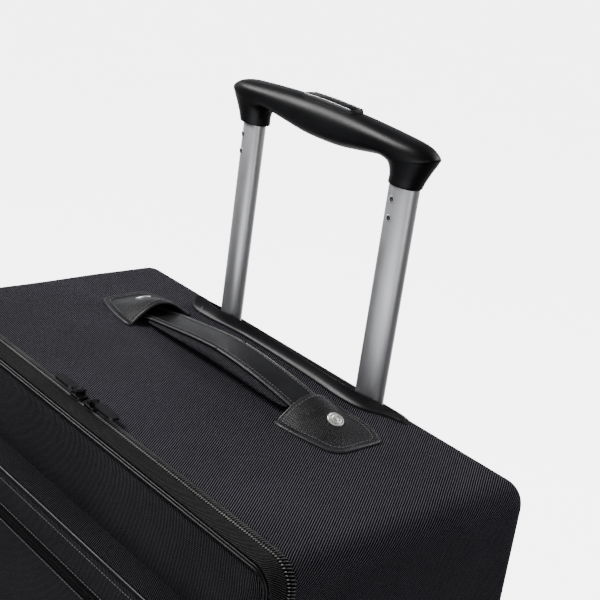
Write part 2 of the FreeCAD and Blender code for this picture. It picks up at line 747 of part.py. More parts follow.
def build_lid():
    """The opening front panel with its band, piping, zip half and two pockets."""
    above = box("-case_width", "-200", "case_bottom + corner_round", "2 * case_width", "400",
                "case_top")
    below = box("-case_width", "-200", "0", "2 * case_width", "400", "case_bottom + corner_round")

    case_tape = case_ring("case_tape", "0", "tape_skin", "shell_front",
                          "shell_front - zip_plane - zip_gap")
    case_coil = case_ring("case_coil", "-zip_proud", "0", "zip_plane + zip_gap + 2.5", "2.5")
    node(common(fuse(case_tape, case_coil), above), "case_zipper_half")

    band_rear = "zip_plane - 6"
    lid_tape = case_ring("lid_tape", "0", "tape_skin", "zip_plane - zip_gap",
                         "6 - zip_gap")
    lid_coil = case_ring("lid_coil", "-zip_proud", "0", "zip_plane - zip_gap", "2.5")
    node(common(fuse(lid_tape, lid_coil), above), "lid_zipper_half")

    band = case_ring("band_ring", "0", "tape_skin", band_rear, "front_plane * -1 + zip_plane - 10")
    hinge = case_ring("band_hinge", "0", "tape_skin", "zip_plane - zip_gap", "6 - zip_gap")
    wide = "case_width / 2 - corner_round + zip_gap"
    cord_room = rod(f"-({wide})", "zip_plane", "case_bottom", "hinge_cord + 2 * zip_gap",
                    f"2 * ({wide})", "x")
    node(cut(fuse(band, common(hinge, below)), cord_room), "lid_band")

    piping = case_ring("lid_piping", "-1.5", "2", "front_plane + 4", "4")
    node(piping, "lid_piping")
    panel = extruded("lid_panel", "XZ_Plane", [frame_loop("2")], "4", ("0", "front_plane + 4", "0"))
    node(panel, "lid_panel")

    strips = []
    for name in ("upper", "lower"):
        foot, depth = f"{name}_pocket_foot", f"{name}_pocket_depth"
        tall = f"{name}_pocket_head - {name}_pocket_foot"
        outer = extruded(f"{name}_pocket_outer", "XZ_Plane",
                         [("-pocket_width / 2", foot, "pocket_width", tall, "pocket_round")],
                         depth, ("0", "front_plane", "0"))
        inner = extruded(f"{name}_pocket_inner", "XZ_Plane",
                         [("-pocket_width / 2 + pocket_wall", f"{foot} + pocket_wall",
                           "pocket_width - 2 * pocket_wall", f"{tall} - 2 * pocket_wall",
                           "pocket_round - pocket_wall")],
                         f"{depth} - pocket_wall + 1", ("0", "front_plane + 1", "0"))
        node(cut(outer, inner), f"{name}_pocket")
        strips.append(box("-pocket_width / 2 + 20", f"front_plane - {depth} - 1",
                          f"{name}_pocket_head - 34", "pocket_width - 40", "1", "9"))
    node(group(strips), "pocket_zippers")


def axes_place(origin, along, outward):
    """Placement that lays local X on a direction and local Z on the outward normal."""
    return FreeCAD.Placement(
        origin, FreeCAD.Rotation(along, outward.cross(along), outward, "ZXY"))


PIN_RISE = 4.6


def slider_solid(length, width):
    """Zip slider in its own frame: a wedge body, two lugs and the pull's pin."""
    body = Part.makeBox(length, width, 2.6, Vector(-length / 2, -width / 2, 0))
    upright = [edge for edge in body.Edges if edge.BoundBox.ZLength > 2]
    body = body.makeFillet(2.5, upright)
    lugs = [Part.makeBox(3.4, 1.2, 3.6, Vector(-1.7, y, 2.4)) for y in (-4.0, 2.8)]
    pin = Part.makeCylinder(0.7, 8.0, Vector(0, -4.0, PIN_RISE), Vector(0, 1, 0))
    return body.fuse(lugs + [pin]).removeSplitter()


def pull_solid(length):
    """Zip pull in the slider's frame: an eye round the pin and a waisted tab."""
    eye = Part.makeCylinder(1.8, 5.0, Vector(0, -2.5, PIN_RISE), Vector(0, 1, 0))
    neck = Part.makeBox(9, 3.4, 1.4, Vector(1.0, -1.7, PIN_RISE - 0.7))
    tab = stadium(Vector(length / 2 + 6, 0, PIN_RISE - 0.9), Vector(1, 0, 0), Vector(0, 1, 0),
                  length, 8.0).extrude(UP * 1.8)
    hole = Part.makeCylinder(1.0, 8, Vector(0, -4, PIN_RISE), Vector(0, 1, 0))
    return eye.fuse([neck, tab]).cut(hole).removeSplitter()


def build_sliders():
    """Two sliders meet on the main zip's top run; each pocket zip has one."""
    up, forward = Vector(0, 0, 1), Vector(0, -1, 0)
    main_height = value("case_top + zip_proud") + 0.4
    line = value("zip_plane")
    places = [
        ("main_slider_a", "main_pull_a", Vector(-9, line, main_height), Vector(-1, 0, 0), up, 13, 9),
        ("main_slider_b", "main_pull_b", Vector(9, line, main_height), Vector(1, 0, 0), up, 13, 9),
    ]
    for name in ("upper", "lower"):
        face = value(f"front_plane - {name}_pocket_depth") - 1.4
        height = value(f"{name}_pocket_head") - 29.5
        places.append((f"{name}_pocket_slider", f"{name}_pocket_pull",
                       Vector(-140, face, height), Vector(0, 0, -1), forward, 9, 12))
    for slider, pull, origin, along, outward, length, width in places:
        body = slider_solid(length, width)
        body.Placement = axes_place(origin, along, outward)
        feature(slider, body)
        tab = pull_solid(24.0)
        tab.Placement = axes_place(origin, along, outward)
        feature(pull, tab)


# ---------------------------------------------------------------- wheels

def build_wheels():
    """Two wheels: a moulded hub with a soft tyre on each."""
    half = "wheel_width / 2"
    rim = "hub_diameter / 2"
    bore = "axle_diameter / 2 + 0.15"
    tread = "wheel_diameter / 2"
    hub = [(f"-{half}", bore), (half, bore), (half, f"{bore} + 5"), (f"{half} - 5", f"{bore} + 7"),
           (f"{half} - 5", f"{rim} - 4"), (f"{half} - 1", f"{rim} - 2"), (f"{half} - 1", rim),
           (f"-{half} + 1", rim), (f"-{half} + 1", f"{rim} - 2"), (f"-{half} + 5", f"{rim} - 4"),
           (f"-{half} + 5", f"{bore} + 7"), (f"-{half}", f"{bore} + 5")]
    tyre = [(f"-{half} + 1", rim), (f"{half} - 1", rim), (f"{half}", f"{rim} + 2"),
            (f"{half}", f"{tread} - 3"), (f"{half} - 3", tread), (f"-{half} + 3", tread),
            (f"-{half}", f"{tread} - 3"), (f"-{half}", f"{rim} + 2")]
    for name, side in SIDES:
        place = (f"{side} * wheel_across", "wheel_centre", "wheel_diameter / 2")
        node(lathe(f"wheel_hub_{name}", hub, place), f"wheel_hub_{name}")
        node(lathe(f"wheel_tyre_{name}", tyre, place), f"wheel_tyre_{name}")


# ---------------------------------------------------------------- checks and files

def failed_objects():
    """Objects that did not recompute."""
    return [item.Label for item in doc.Objects
            if "Invalid" in item.State or "Error" in item.State]


def write_parts():
    """Check every sub-part and write one STEP file for each."""
    doc.recompute()
    broken = failed_objects()
    if broken:
        raise RuntimeError("objects failed: " + ", ".join(broken))
    for name, piece in nodes.items():
        shape = piece.Shape
        if shape.isNull() or not shape.isValid() or shape.Volume <= 0:
            raise RuntimeError("bad shape: " + name)
    for name, piece in nodes.items():
        piece.Shape.exportStep(f"parts/{name}.step")


fill_sheet()
build_case()
build_bezel()
build_tubes()
build_locks()
build_grip()
build_handles()
build_lid()
build_sliders()
build_wheels()
write_parts()
print(len(nodes), "parts written")
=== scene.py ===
import json
import math

import bmesh
import bpy
from mathutils import Matrix, Vector

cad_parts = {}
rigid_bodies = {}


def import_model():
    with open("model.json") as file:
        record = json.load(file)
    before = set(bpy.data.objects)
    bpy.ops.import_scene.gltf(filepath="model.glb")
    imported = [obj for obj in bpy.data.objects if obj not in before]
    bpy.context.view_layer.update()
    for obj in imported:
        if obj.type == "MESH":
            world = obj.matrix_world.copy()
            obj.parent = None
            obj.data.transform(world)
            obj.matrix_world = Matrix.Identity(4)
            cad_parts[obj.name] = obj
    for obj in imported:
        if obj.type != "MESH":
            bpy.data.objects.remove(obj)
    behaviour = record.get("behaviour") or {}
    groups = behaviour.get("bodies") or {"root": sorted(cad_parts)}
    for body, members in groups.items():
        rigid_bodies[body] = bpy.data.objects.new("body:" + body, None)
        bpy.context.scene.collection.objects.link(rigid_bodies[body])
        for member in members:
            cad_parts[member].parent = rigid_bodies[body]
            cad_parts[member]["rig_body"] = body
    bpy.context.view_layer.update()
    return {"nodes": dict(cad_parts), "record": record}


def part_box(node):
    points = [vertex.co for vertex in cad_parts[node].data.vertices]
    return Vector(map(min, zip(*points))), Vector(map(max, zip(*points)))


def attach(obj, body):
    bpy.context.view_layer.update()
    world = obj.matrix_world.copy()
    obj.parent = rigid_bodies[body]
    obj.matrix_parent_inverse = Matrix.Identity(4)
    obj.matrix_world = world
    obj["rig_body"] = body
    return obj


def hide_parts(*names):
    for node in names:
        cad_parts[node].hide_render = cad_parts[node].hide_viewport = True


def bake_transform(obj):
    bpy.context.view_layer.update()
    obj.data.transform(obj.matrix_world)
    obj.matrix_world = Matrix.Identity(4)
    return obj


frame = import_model()
MM = 0.001

# ---------------------------------------------------------------- places read from the frame

SHELL_LOW, SHELL_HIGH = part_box("back_panel")
HALF_WIDTH = SHELL_HIGH.x
TOP = SHELL_HIGH.z
BOTTOM = SHELL_LOW.z
BACK = SHELL_HIGH.y
ZIP_BACK, SHELL_FRONT = [corner.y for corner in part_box("case_zipper_half")]
BAND_REAR, ZIP_FRONT = [corner.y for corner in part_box("lid_zipper_half")]
ZIP_LINE = (ZIP_BACK + ZIP_FRONT) / 2
CORNER = 18 * MM
BACK_ROUND = 16 * MM
SIDES = (("left", -1), ("right", 1))
MIDDLE_Z = (TOP + BOTTOM) / 2
RIGHTWARD, BACKWARD, UPWARD = Vector((1, 0, 0)), Vector((0, 1, 0)), Vector((0, 0, 1))


def middle_of(node_name):
    """The middle of a CAD node's box."""
    low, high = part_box(node_name)
    return (low + high) / 2


# ---------------------------------------------------------------- shader helpers

def add_node(tree, kind, inputs=None, **settings):
    """Adds a node; inputs maps socket names or numbers to values or output sockets."""
    made = tree.nodes.new(kind)
    for key, setting in settings.items():
        setattr(made, key, setting)
    for key, given in (inputs or {}).items():
        if isinstance(given, bpy.types.NodeSocket):
            tree.links.new(given, made.inputs[key])
        else:
            made.inputs[key].default_value = given
    return made


class Shader:
    """A material under construction: short calls that add and link shader nodes."""

    def __init__(self, name, color, roughness, **sockets):
        self.material = bpy.data.materials.new(name)
        self.material.use_nodes = True
        self.bsdf = self.material.node_tree.nodes["Principled BSDF"]
        self.bsdf.inputs["Base Color"].default_value = (*color, 1.0)
        self.bsdf.inputs["Roughness"].default_value = roughness
        for socket, number in sockets.items():
            self.bsdf.inputs[socket.replace("_", " ")].default_value = number

    def drive(self, socket_name, socket):
        """Links an output to one of the surface's own sockets."""
        self.material.node_tree.links.new(socket, self.bsdf.inputs[socket_name])

    def add(self, kind, inputs=None, **settings):
        """Adds a node to the material."""
        return add_node(self.material.node_tree, kind, inputs, **settings)

    def math(self, operation, first, second=0.0, third=0.0):
        """One scalar operation."""
        made = self.add("ShaderNodeMath", {0: first, 1: second, 2: third}, operation=operation)
        return made.outputs[0]

    def plus(self, first, second):
        """A sum."""
        return self.math("ADD", first, second)

    def times(self, first, second):
        """A product."""
        return self.math("MULTIPLY", first, second)

    def phase(self, x, y, x_rate, y_rate):
        """Periods counted along a slanting direction, from two rates in periods per metre."""
        return self.plus(self.times(x, x_rate), self.times(y, y_rate))

    def surface(self):
        """The mesh's own flat coordinates in metres, from its UV map."""
        return self.add("ShaderNodeUVMap", uv_map="surface").outputs["UV"]

    def flat(self):
        """The two flat coordinates, apart."""
        parts = self.add("ShaderNodeSeparateXYZ", {0: self.surface()}).outputs
        return parts[0], parts[1]

    def place(self):
        """Position in the object's own frame, in metres."""
        return self.add("ShaderNodeTexCoord").outputs["Object"]

    def noise(self, vector, scale, detail=3.0, roughness=0.55):
        """Fractal noise, from 0 to 1."""
        made = self.add("ShaderNodeTexNoise", {
            "Vector": vector, "Scale": scale, "Detail": detail, "Roughness": roughness})
        return made.outputs["Fac"]

    def wave(self, phase):
        """A smooth wave from 0 to 1 of a phase counted in periods."""
        turned = self.times(phase, 2 * math.pi)
        return self.math("MULTIPLY_ADD", self.math("SINE", turned), 0.5, 0.5)

    def remap(self, number, low, high, new_low=0.0, new_high=1.0):
        """A clamped linear change of range."""
        made = self.add("ShaderNodeMapRange", {
            0: number, 1: low, 2: high, 3: new_low, 4: new_high})
        return made.outputs[0]

    def spread(self, noise, low, high):
        """Noise stretched so that nearly all of it fills a range."""
        return self.remap(noise, 0.3, 0.7, low, high)

    def mix(self, share, first, second):
        """A colour between two plain colours."""
        made = self.add("ShaderNodeMix", {0: share, 6: (*first, 1.0), 7: (*second, 1.0)},
                        data_type="RGBA")
        return made.outputs[2]

    def finish(self, color, height, depth, strength, roughness=None):
        """Drives colour, normal and roughness; height is from 0 to 1 of a depth in metres."""
        self.drive("Base Color", color)
        if roughness is not None:
            self.drive("Roughness", roughness)
        bump = self.add("ShaderNodeBump", {
            "Height": height, "Distance": depth, "Strength": strength})
        self.drive("Normal", bump.outputs[0])
        return self.material


def toned(tone, factor, lift=0.0):
    """A colour scaled and lifted."""
    return tuple(channel * factor + lift for channel in tone)


# ---------------------------------------------------------------- materials

def make_twill(name, across, along, pitch, dark, light):
    """Diagonal twill: raised ribs of short floats over a dark ground; the light colour on the rib
    crests is a painted highlight, their glints.
    """
    shader = Shader(name, dark, 0.7, Specular_IOR_Level=0.08)
    x, y = shader.flat()
    length = math.hypot(across, along)
    phase = shader.phase(x, y, across / length / pitch, along / length / pitch)
    drift = shader.noise(shader.surface(), 45.0, 2.0)
    phase = shader.plus(phase, shader.times(drift, 0.35))
    rib = shader.wave(phase)
    float_pitch = pitch * 0.7
    run = shader.phase(x, y, -along / length / float_pitch, across / length / float_pitch)
    stagger = shader.times(shader.math("FLOOR", phase), 0.37)
    floats = shader.wave(shader.plus(run, stagger))
    height = shader.times(rib, shader.remap(floats, 0.0, 1.0, 0.7, 1.0))
    mottle = shader.noise(shader.surface(), 1300.0, 2.0)
    blotch = shader.noise(shader.surface(), 9.0, 3.0)
    # Painted highlight: the rib crests are mixed towards the light colour as painted glints,
    # varied by random mottle and blotches.
    share = shader.times(shader.math("POWER", height, 4.0), shader.spread(mottle, 0.6, 1.3))
    share = shader.times(share, shader.spread(blotch, 0.85, 1.15))
    roughness = shader.remap(share, 0.0, 1.0, 0.85, 0.55)
    return shader.finish(shader.mix(share, dark, light), height, 0.4 * MM, 0.9, roughness)


def make_leather(name, tone, roughness, grain, depth):
    """Smooth coated leather with a fine pebble grain and soft blotches."""
    shader = Shader(name, tone, roughness, Specular_IOR_Level=0.36, Coat_Weight=0.06)
    place = shader.place()
    pebble = shader.add("ShaderNodeTexVoronoi", {"Vector": place, "Scale": grain})
    fine = shader.noise(place, grain * 0.6, 4.0)
    blotch = shader.noise(place, 45.0, 3.0)
    cells = shader.remap(pebble.outputs["Distance"], 0.0, 0.7)
    height = shader.plus(shader.times(cells, 0.6), shader.times(fine, 0.4))
    color = shader.mix(shader.remap(blotch, 0.35, 0.7), tone, toned(tone, 1.9, 0.004))
    return shader.finish(color, height, depth, 0.5,
                         shader.spread(fine, roughness - 0.05, roughness + 0.12))


def make_saffiano(name, tone, roughness):
    """Cross-hatched coated leather: two families of fine scratches pressed in, coloured lighter as
    a painted highlight along the hatch.
    """
    shader = Shader(name, tone, roughness, Specular_IOR_Level=0.3)
    pitch = 1.55 * MM
    x, y = shader.flat()
    wander = shader.times(shader.noise(shader.surface(), 220.0, 2.0), 0.8)
    lines = []
    for slope in (0.6, -0.6):
        phase = shader.phase(x, y, 1 / pitch, slope / pitch)
        lines.append(shader.wave(shader.plus(phase, wander)))
    hatch = shader.math("POWER", shader.math("MAXIMUM", *lines), 5.0)
    blotch = shader.noise(shader.surface(), 70.0, 3.0)
    share = shader.times(hatch, shader.spread(blotch, 0.5, 1.2))
    # Painted highlight: the hatch lines are mixed towards a lighter tone as glints.
    return shader.finish(shader.mix(share, tone, toned(tone, 5, 0.026)), hatch, 0.3 * MM, 0.9,
                         shader.spread(blotch, roughness - 0.06, roughness + 0.1))


def make_ribbed(name, pitch, dark, light):
    """Plain woven cloth with straight raised ribs across its length."""
    shader = Shader(name, dark, 0.7, Specular_IOR_Level=0.1)
    x, y = shader.flat()
    rib = shader.wave(shader.times(x, 1 / pitch))
    cross = shader.wave(shader.times(y, 1 / (pitch * 0.7)))
    height = shader.times(rib, shader.remap(cross, 0.0, 1.0, 0.7, 1.0))
    mottle = shader.noise(shader.surface(), 700.0, 2.0)
    share = shader.times(height, shader.spread(mottle, 0.6, 1.1))
    return shader.finish(shader.mix(share, dark, light), height, 0.3 * MM, 0.8)


def make_moulded(name, tone, roughness, grain, depth, wear=0.25, gloss=0.5):
    """Injection-moulded plastic: fine spark texture, soft mottling, rubbed convex edges."""
    shader = Shader(name, tone, roughness, Specular_IOR_Level=gloss)
    place = shader.place()
    fine = shader.noise(place, grain, 4.0, 0.6)
    broad = shader.noise(place, 26.0, 3.0)
    pointy = shader.add("ShaderNodeNewGeometry").outputs["Pointiness"]
    rubbed = shader.remap(pointy, 0.52, 0.62, 0.0, wear)
    share = shader.plus(shader.remap(broad, 0.35, 0.7, 0.0, 0.35), rubbed)
    return shader.finish(shader.mix(share, tone, toned(tone, 2.4, 0.002)), fine, depth, 0.5,
                         shader.spread(broad, roughness - 0.05, roughness + 0.07))


def make_aluminium(name, tone, roughness):
    """Satin anodised extrusion: fine die lines along Z and faint cloudiness."""
    shader = Shader(name, tone, roughness, Metallic=1.0)
    place = shader.place()
    stretched = shader.add("ShaderNodeMapping", {
        "Vector": place, "Scale": (1.0, 1.0, 0.012)}).outputs[0]
    lines = shader.noise(stretched, 2600.0, 3.0, 0.65)
    grain = shader.noise(place, 4200.0, 2.0, 0.6)
    cloud = shader.noise(place, 30.0, 3.0)
    share = shader.math("MULTIPLY_ADD", lines, 0.55, shader.times(grain, 0.45))
    color = shader.mix(shader.remap(share, 0.35, 0.65), toned(tone, 0.86), tone)
    return shader.finish(color, share, 0.025 * MM, 0.5,
                         shader.spread(cloud, roughness - 0.04, roughness + 0.05))


def make_metal(name, tone, roughness, metallic=1.0):
    """Plain metal with fine scratches."""
    shader = Shader(name, tone, roughness, Metallic=metallic)
    place = shader.place()
    fine = shader.noise(place, 1800.0, 3.0)
    broad = shader.noise(place, 120.0, 2.0)
    color = shader.mix(shader.spread(broad, 0.0, 1.0), tone, toned(tone, 0.75))
    return shader.finish(color, fine, 0.02 * MM, 0.3,
                         shader.spread(fine, roughness, roughness + 0.15))


def make_thread(name, tone):
    """Twisted sewing thread."""
    shader = Shader(name, tone, 0.5)
    twist = shader.noise(shader.place(), 3000.0, 2.0)
    color = shader.mix(twist, tone, toned(tone, 2.0, 0.01))
    return shader.finish(color, twist, 0.05 * MM, 0.5)


# Each finish's maker and its numbers: for cloth the weave's directions, pitch and colours, and
# for the rest the colour, roughness, grain and its depth.
FINISHES = {
    # The twill cloths' light colours are painted highlights, the glints on their rib crests.
    "twill": (make_twill, 0.809, 0.588, 1.56 * MM, (0.0004, 0.0004, 0.0006),
              (0.302, 0.288, 0.345)),
    "face_twill": (make_twill, 0.92, 0.39, 1.56 * MM, (0.0004, 0.0004, 0.0005),
                   (0.145, 0.14, 0.16)),
    "pad_cloth": (make_twill, 0.97, -0.24, 1.45 * MM, (0.0004, 0.0004, 0.0005),
                  (0.27, 0.26, 0.30)),
    "band_cloth": (make_twill, 0.83, -0.56, 1.25 * MM, (0.0015, 0.0015, 0.0016),
                   (0.17, 0.167, 0.173)),
    "tape_cloth": (make_ribbed, 0.8 * MM, (0.001,) * 3, (0.005,) * 3),
    "case_tape_cloth": (make_ribbed, 0.8 * MM, (0.002,) * 3, (0.012,) * 3),
    "lining_cloth": (make_ribbed, 0.6 * MM, (0.05, 0.05, 0.055), (0.14, 0.14, 0.15)),
    "strap_leather": (make_leather, (0.006, 0.006, 0.007), 0.42, 1500.0, 0.08 * MM),
    "edge_paint": (make_leather, (0.035, 0.035, 0.038), 0.3, 900.0, 0.04 * MM),
    "saffiano": (make_saffiano, (0.003, 0.003, 0.0036), 0.36),
    "piping": (make_moulded, (0.003, 0.003, 0.0035), 0.38, 700.0, 0.03 * MM, 0.05, 0.28),
    "grip_plastic": (make_moulded, (0.002, 0.002, 0.0027), 0.38, 1500.0, 0.09 * MM, 0.03, 0.28),
    "bezel_plastic": (make_moulded, (0.006, 0.006, 0.0075), 0.46, 1800.0, 0.05 * MM, 0.1, 0.42),
    "base_plastic": (make_moulded, (0.013, 0.013, 0.014), 0.5, 900.0, 0.12 * MM),
    "hub_plastic": (make_moulded, (0.07, 0.07, 0.075), 0.45, 900.0, 0.08 * MM),
    "board": (make_moulded, (0.03,) * 3, 0.55, 500.0, 0.08 * MM),
    "rubber": (make_moulded, (0.014,) * 3, 0.72, 500.0, 0.15 * MM, 0.4),
    # Painted highlights: the zip coils are lifted above black nylon, the first for the lit sides
    # of the case half's elements, the second as painted glints on the lid half.
    "nylon": (make_moulded, (0.15, 0.15, 0.147), 0.35, 900.0, 0.02 * MM, 0.0, 0.3),
    "bright_nylon": (make_moulded, (0.40, 0.398, 0.388), 0.3, 900.0, 0.02 * MM, 0.0, 0.3),
    "aluminium": (make_aluminium, (0.75, 0.75, 0.765), 0.41),
    "inlay": (make_metal, (0.55, 0.55, 0.56), 0.3),
    "chrome": (make_metal, (0.97, 0.96, 0.91), 0.26, 0.72),
    "gunmetal": (make_metal, (0.06, 0.06, 0.065), 0.3),
    "screw_steel": (make_metal, (0.10, 0.105, 0.12), 0.35),
    "steel": (make_metal, (0.5, 0.5, 0.52), 0.35),
    "thread": (make_thread, (0.10, 0.10, 0.105)),
}


MATERIALS = {name: make(name, *numbers) for name, (make, *numbers) in FINISHES.items()}


# ---------------------------------------------------------------- mesh helpers

def finish_mesh(name, vertices, faces, material, surface=None):
    """A mesh object with its material and, where given, flat coordinates per vertex."""
    mesh = bpy.data.meshes.new(name)
    mesh.from_pydata([tuple(v) for v in vertices], [], faces)
    mesh.validate()
    if surface:
        layer = mesh.uv_layers.new(name="surface")
        for loop in mesh.loops:
            layer.data[loop.index].uv = surface[loop.vertex_index]
    made = bpy.data.objects.new(name, mesh)
    bpy.context.scene.collection.objects.link(made)
    mesh.materials.append(MATERIALS[material])
    work = bmesh.new()
    work.from_mesh(mesh)
    bmesh.ops.recalc_face_normals(work, faces=work.faces)
    work.to_mesh(mesh)
    work.free()
    flags = [len(polygon.vertices) <= 4 for polygon in mesh.polygons]
    mesh.polygons.foreach_set("use_smooth", flags)
    return made


def end_caps(rows, count):
    """Two faces that close the first and last of some rows of vertices."""
    last = (rows - 1) * count
    return [tuple(range(count))[::-1], tuple(range(last, last + count))]


def running(points):
    """Length run at each of some points, from the first."""
    runs = [0.0]
    for start, end in zip(points, points[1:]):
        runs.append(runs[-1] + math.dist(start, end))
    return runs


def angles(count, offset=0.0):
    """Evenly spaced angles round a full turn."""
    return [2 * math.pi * (step + offset) / count for step in range(count)]


def rounded(number, power):
    """A number's size raised to a power, with its sign kept."""
    return math.copysign(abs(number) ** power, number)


def many_tubes(name, tubes, material, caps=True, surface=None):
    """One mesh of separate tubes, each a list of closed rings of equal count."""
    vertices, faces = [], []
    for rings in tubes:
        base, count = len(vertices), len(rings[0])
        made = grid_faces(len(rings), count, wrap=True)
        if caps:
            made += end_caps(len(rings), count)
        vertices += [point for ring in rings for point in ring]
        faces += [tuple(base + index for index in face) for face in made]
    return finish_mesh(name, vertices, faces, material, surface)


def grid_faces(rows, columns, wrap=False, skip=None):
    """Quads over rows by columns of vertices; wrap joins the last column to the first."""
    faces = []
    for row in range(rows - 1):
        for column in range(columns if wrap else columns - 1):
            following = (column + 1) % columns
            if skip and skip(row, column):
                continue
            faces.append((row * columns + column, row * columns + following,
                          (row + 1) * columns + following, (row + 1) * columns + column))
    return faces


def loft(name, rings, material, caps=True, surface=None):
    """A skin over closed rings of equal count, with flat ends unless caps is off."""
    return many_tubes(name, [rings], material, caps, surface)


def turned(name, centre, axis, side, profile, count, material, caps=True):
    """A round skin about an axis, from (radius, height) rows in mm."""
    across = axis.cross(side)
    rings = []
    for radius, height in profile:
        rings.append([centre + axis * height * MM
                      + (side * math.cos(angle) + across * math.sin(angle)) * radius * MM
                      for angle in angles(count)])
    return loft(name, rings, material, caps)


def spline(points, steps):
    """Catmull-Rom points through a list of vectors or numbers."""
    padded = [points[0], *points, points[-1]]
    made = []
    for before, start, end, after in zip(padded, padded[1:], padded[2:], padded[3:]):
        for step in range(steps):
            t = step / steps
            made.append(0.5 * ((2 * start) + (end - before) * t
                               + (2 * before - 5 * start + 4 * end - after) * t * t
                               + (3 * start - 3 * end + after - before) * t ** 3))
    made.append(points[-1])
    return made


def frames_along(path, up, closed=False):
    """A side and an up direction at each point of a path."""
    count = len(path)
    made = []
    for index in range(count):
        before = path[index - 1] if closed or index else path[0]
        after = path[(index + 1) % count] if closed or index < count - 1 else path[-1]
        tangent = (after - before).normalized()
        side = tangent.cross(up).normalized()
        made.append((side, side.cross(tangent).normalized()))
    return made


def sweep(name, path, profile, material, up=UPWARD, closed=False):
    """A profile of (side, up) offsets swept along a path."""
    vertices, surface = [], []
    for point, travelled, (side, rise) in zip(path, running(path), frames_along(path, up, closed)):
        for (offset, height), around in zip(profile, running(profile)):
            vertices.append(point + side * offset + rise * height)
            surface.append((travelled, around))
    count = len(profile)
    faces = grid_faces(len(path), count, wrap=True)
    if closed:
        last = (len(path) - 1) * count
        for column in range(count):
            following = (column + 1) % count
            faces.append((last + column, last + following, following, column))
    else:
        faces += end_caps(len(path), count)
    return finish_mesh(name, vertices, faces, material, surface)


def bead(name, path, radius, material, closed=False, up=UPWARD):
    """A round bead along a path."""
    profile = [(radius * math.cos(angle), radius * math.sin(angle)) for angle in angles(10)]
    return sweep(name, path, profile, material, up, closed)


# Rings of one stitch: place along it in lengths, then thickness and rise in radii.
STITCH_RINGS = ((-0.5, 0.05, -0.9), (-0.42, 0.75, 0.0), (0.0, 1.0, 0.55), (0.42, 0.75, 0.0),
                (0.5, 0.05, -0.9))
STITCH_PITCH, STITCH_LENGTH, STITCH_RADIUS = 3.1 * MM, 2.3 * MM, 0.33 * MM


def resample(path, pitch, closed=False):
    """Points at an even pitch along a path, each with its direction."""
    spots, carried = [], 0.0
    line = path + [path[0]] if closed else path
    for start, end in zip(line, line[1:]):
        length = (end - start).length
        if length < 1e-9:
            continue
        direction = (end - start) / length
        place = carried
        while place < length:
            spots.append((start + direction * place, direction))
            place += pitch
        carried = place - length
    return spots


def stitches(name, path, up, closed=False):
    """A row of separate sewn stitches that dip into the surface at both ends."""
    tubes = []
    for spot, direction in resample(path, STITCH_PITCH, closed):
        side = direction.cross(up).normalized()
        rings = []
        for along, thick, rise in STITCH_RINGS:
            centre = spot + direction * along * STITCH_LENGTH + up * rise * STITCH_RADIUS
            rings.append([centre + (side * math.cos(angle) + up * math.sin(angle))
                          * STITCH_RADIUS * thick for angle in angles(6)])
        tubes.append(rings)
    return many_tubes(name, tubes, "thread", caps=False)


def section_skin(name, place, material, stations, section, wrap=True):
    """A skin over the section at each station; without wrap it has flat ends and is open below."""
    vertices, surface = [], []
    for s in stations:
        ring = section(s)
        for offsets, around in zip(ring, running(ring)):
            vertices.append(place(s, *offsets))
            surface.append((s, around))
    faces = grid_faces(len(stations), len(ring), wrap)
    if not wrap:
        faces += end_caps(len(stations), len(ring))
    return finish_mesh(name, vertices, faces, material, surface)


def softened(node_name, material, width):
    """A copy of a CAD node with rounded edges and a new finish, in place of the node."""
    source = frame["nodes"][node_name]
    work = bmesh.new()
    work.from_mesh(source.data)
    bmesh.ops.remove_doubles(work, verts=work.verts, dist=1e-6)
    bmesh.ops.dissolve_limit(work, angle_limit=math.radians(1.5), verts=work.verts,
                             edges=work.edges)
    mesh = bpy.data.meshes.new(node_name + "_finish")
    work.to_mesh(mesh)
    work.free()
    made = bpy.data.objects.new(node_name + "_finish", mesh)
    bpy.context.scene.collection.objects.link(made)
    mesh.materials.append(MATERIALS[material])
    bevel = made.modifiers.new("round", "BEVEL")
    bevel.width = width
    bevel.segments = 3
    bevel.limit_method = "ANGLE"
    bevel.angle_limit = math.radians(28)
    bevel.use_clamp_overlap = True
    weighted = made.modifiers.new("shade", "WEIGHTED_NORMAL")
    weighted.keep_sharp = True
    mesh.polygons.foreach_set("use_smooth", [True] * len(mesh.polygons))
    apply_modifiers(made)
    record = next(row for row in frame["record"]["subparts"] if row["node"] == node_name)
    place_piece(made, source["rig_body"], record["material_slot"], node_name)


def apply_modifiers(made):
    """Writes a piece's modifiers into its mesh."""
    graph = bpy.context.evaluated_depsgraph_get()
    final = bpy.data.meshes.new_from_object(made.evaluated_get(graph))
    made.modifiers.clear()
    made.data = final


def place_piece(made, body, slot_name, *replaced):
    """Rides a piece on its body and hides the nodes that it stands for; its slot name is not used.
    """
    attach(made, body)
    if replaced:
        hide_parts(*replaced)


def finish_node(node_name, material):
    """A CAD node shown as it is, with one of the materials."""
    mesh = frame["nodes"][node_name].data
    mesh.materials.clear()
    mesh.materials.append(MATERIALS[material])


# ---------------------------------------------------------------- the case's outline

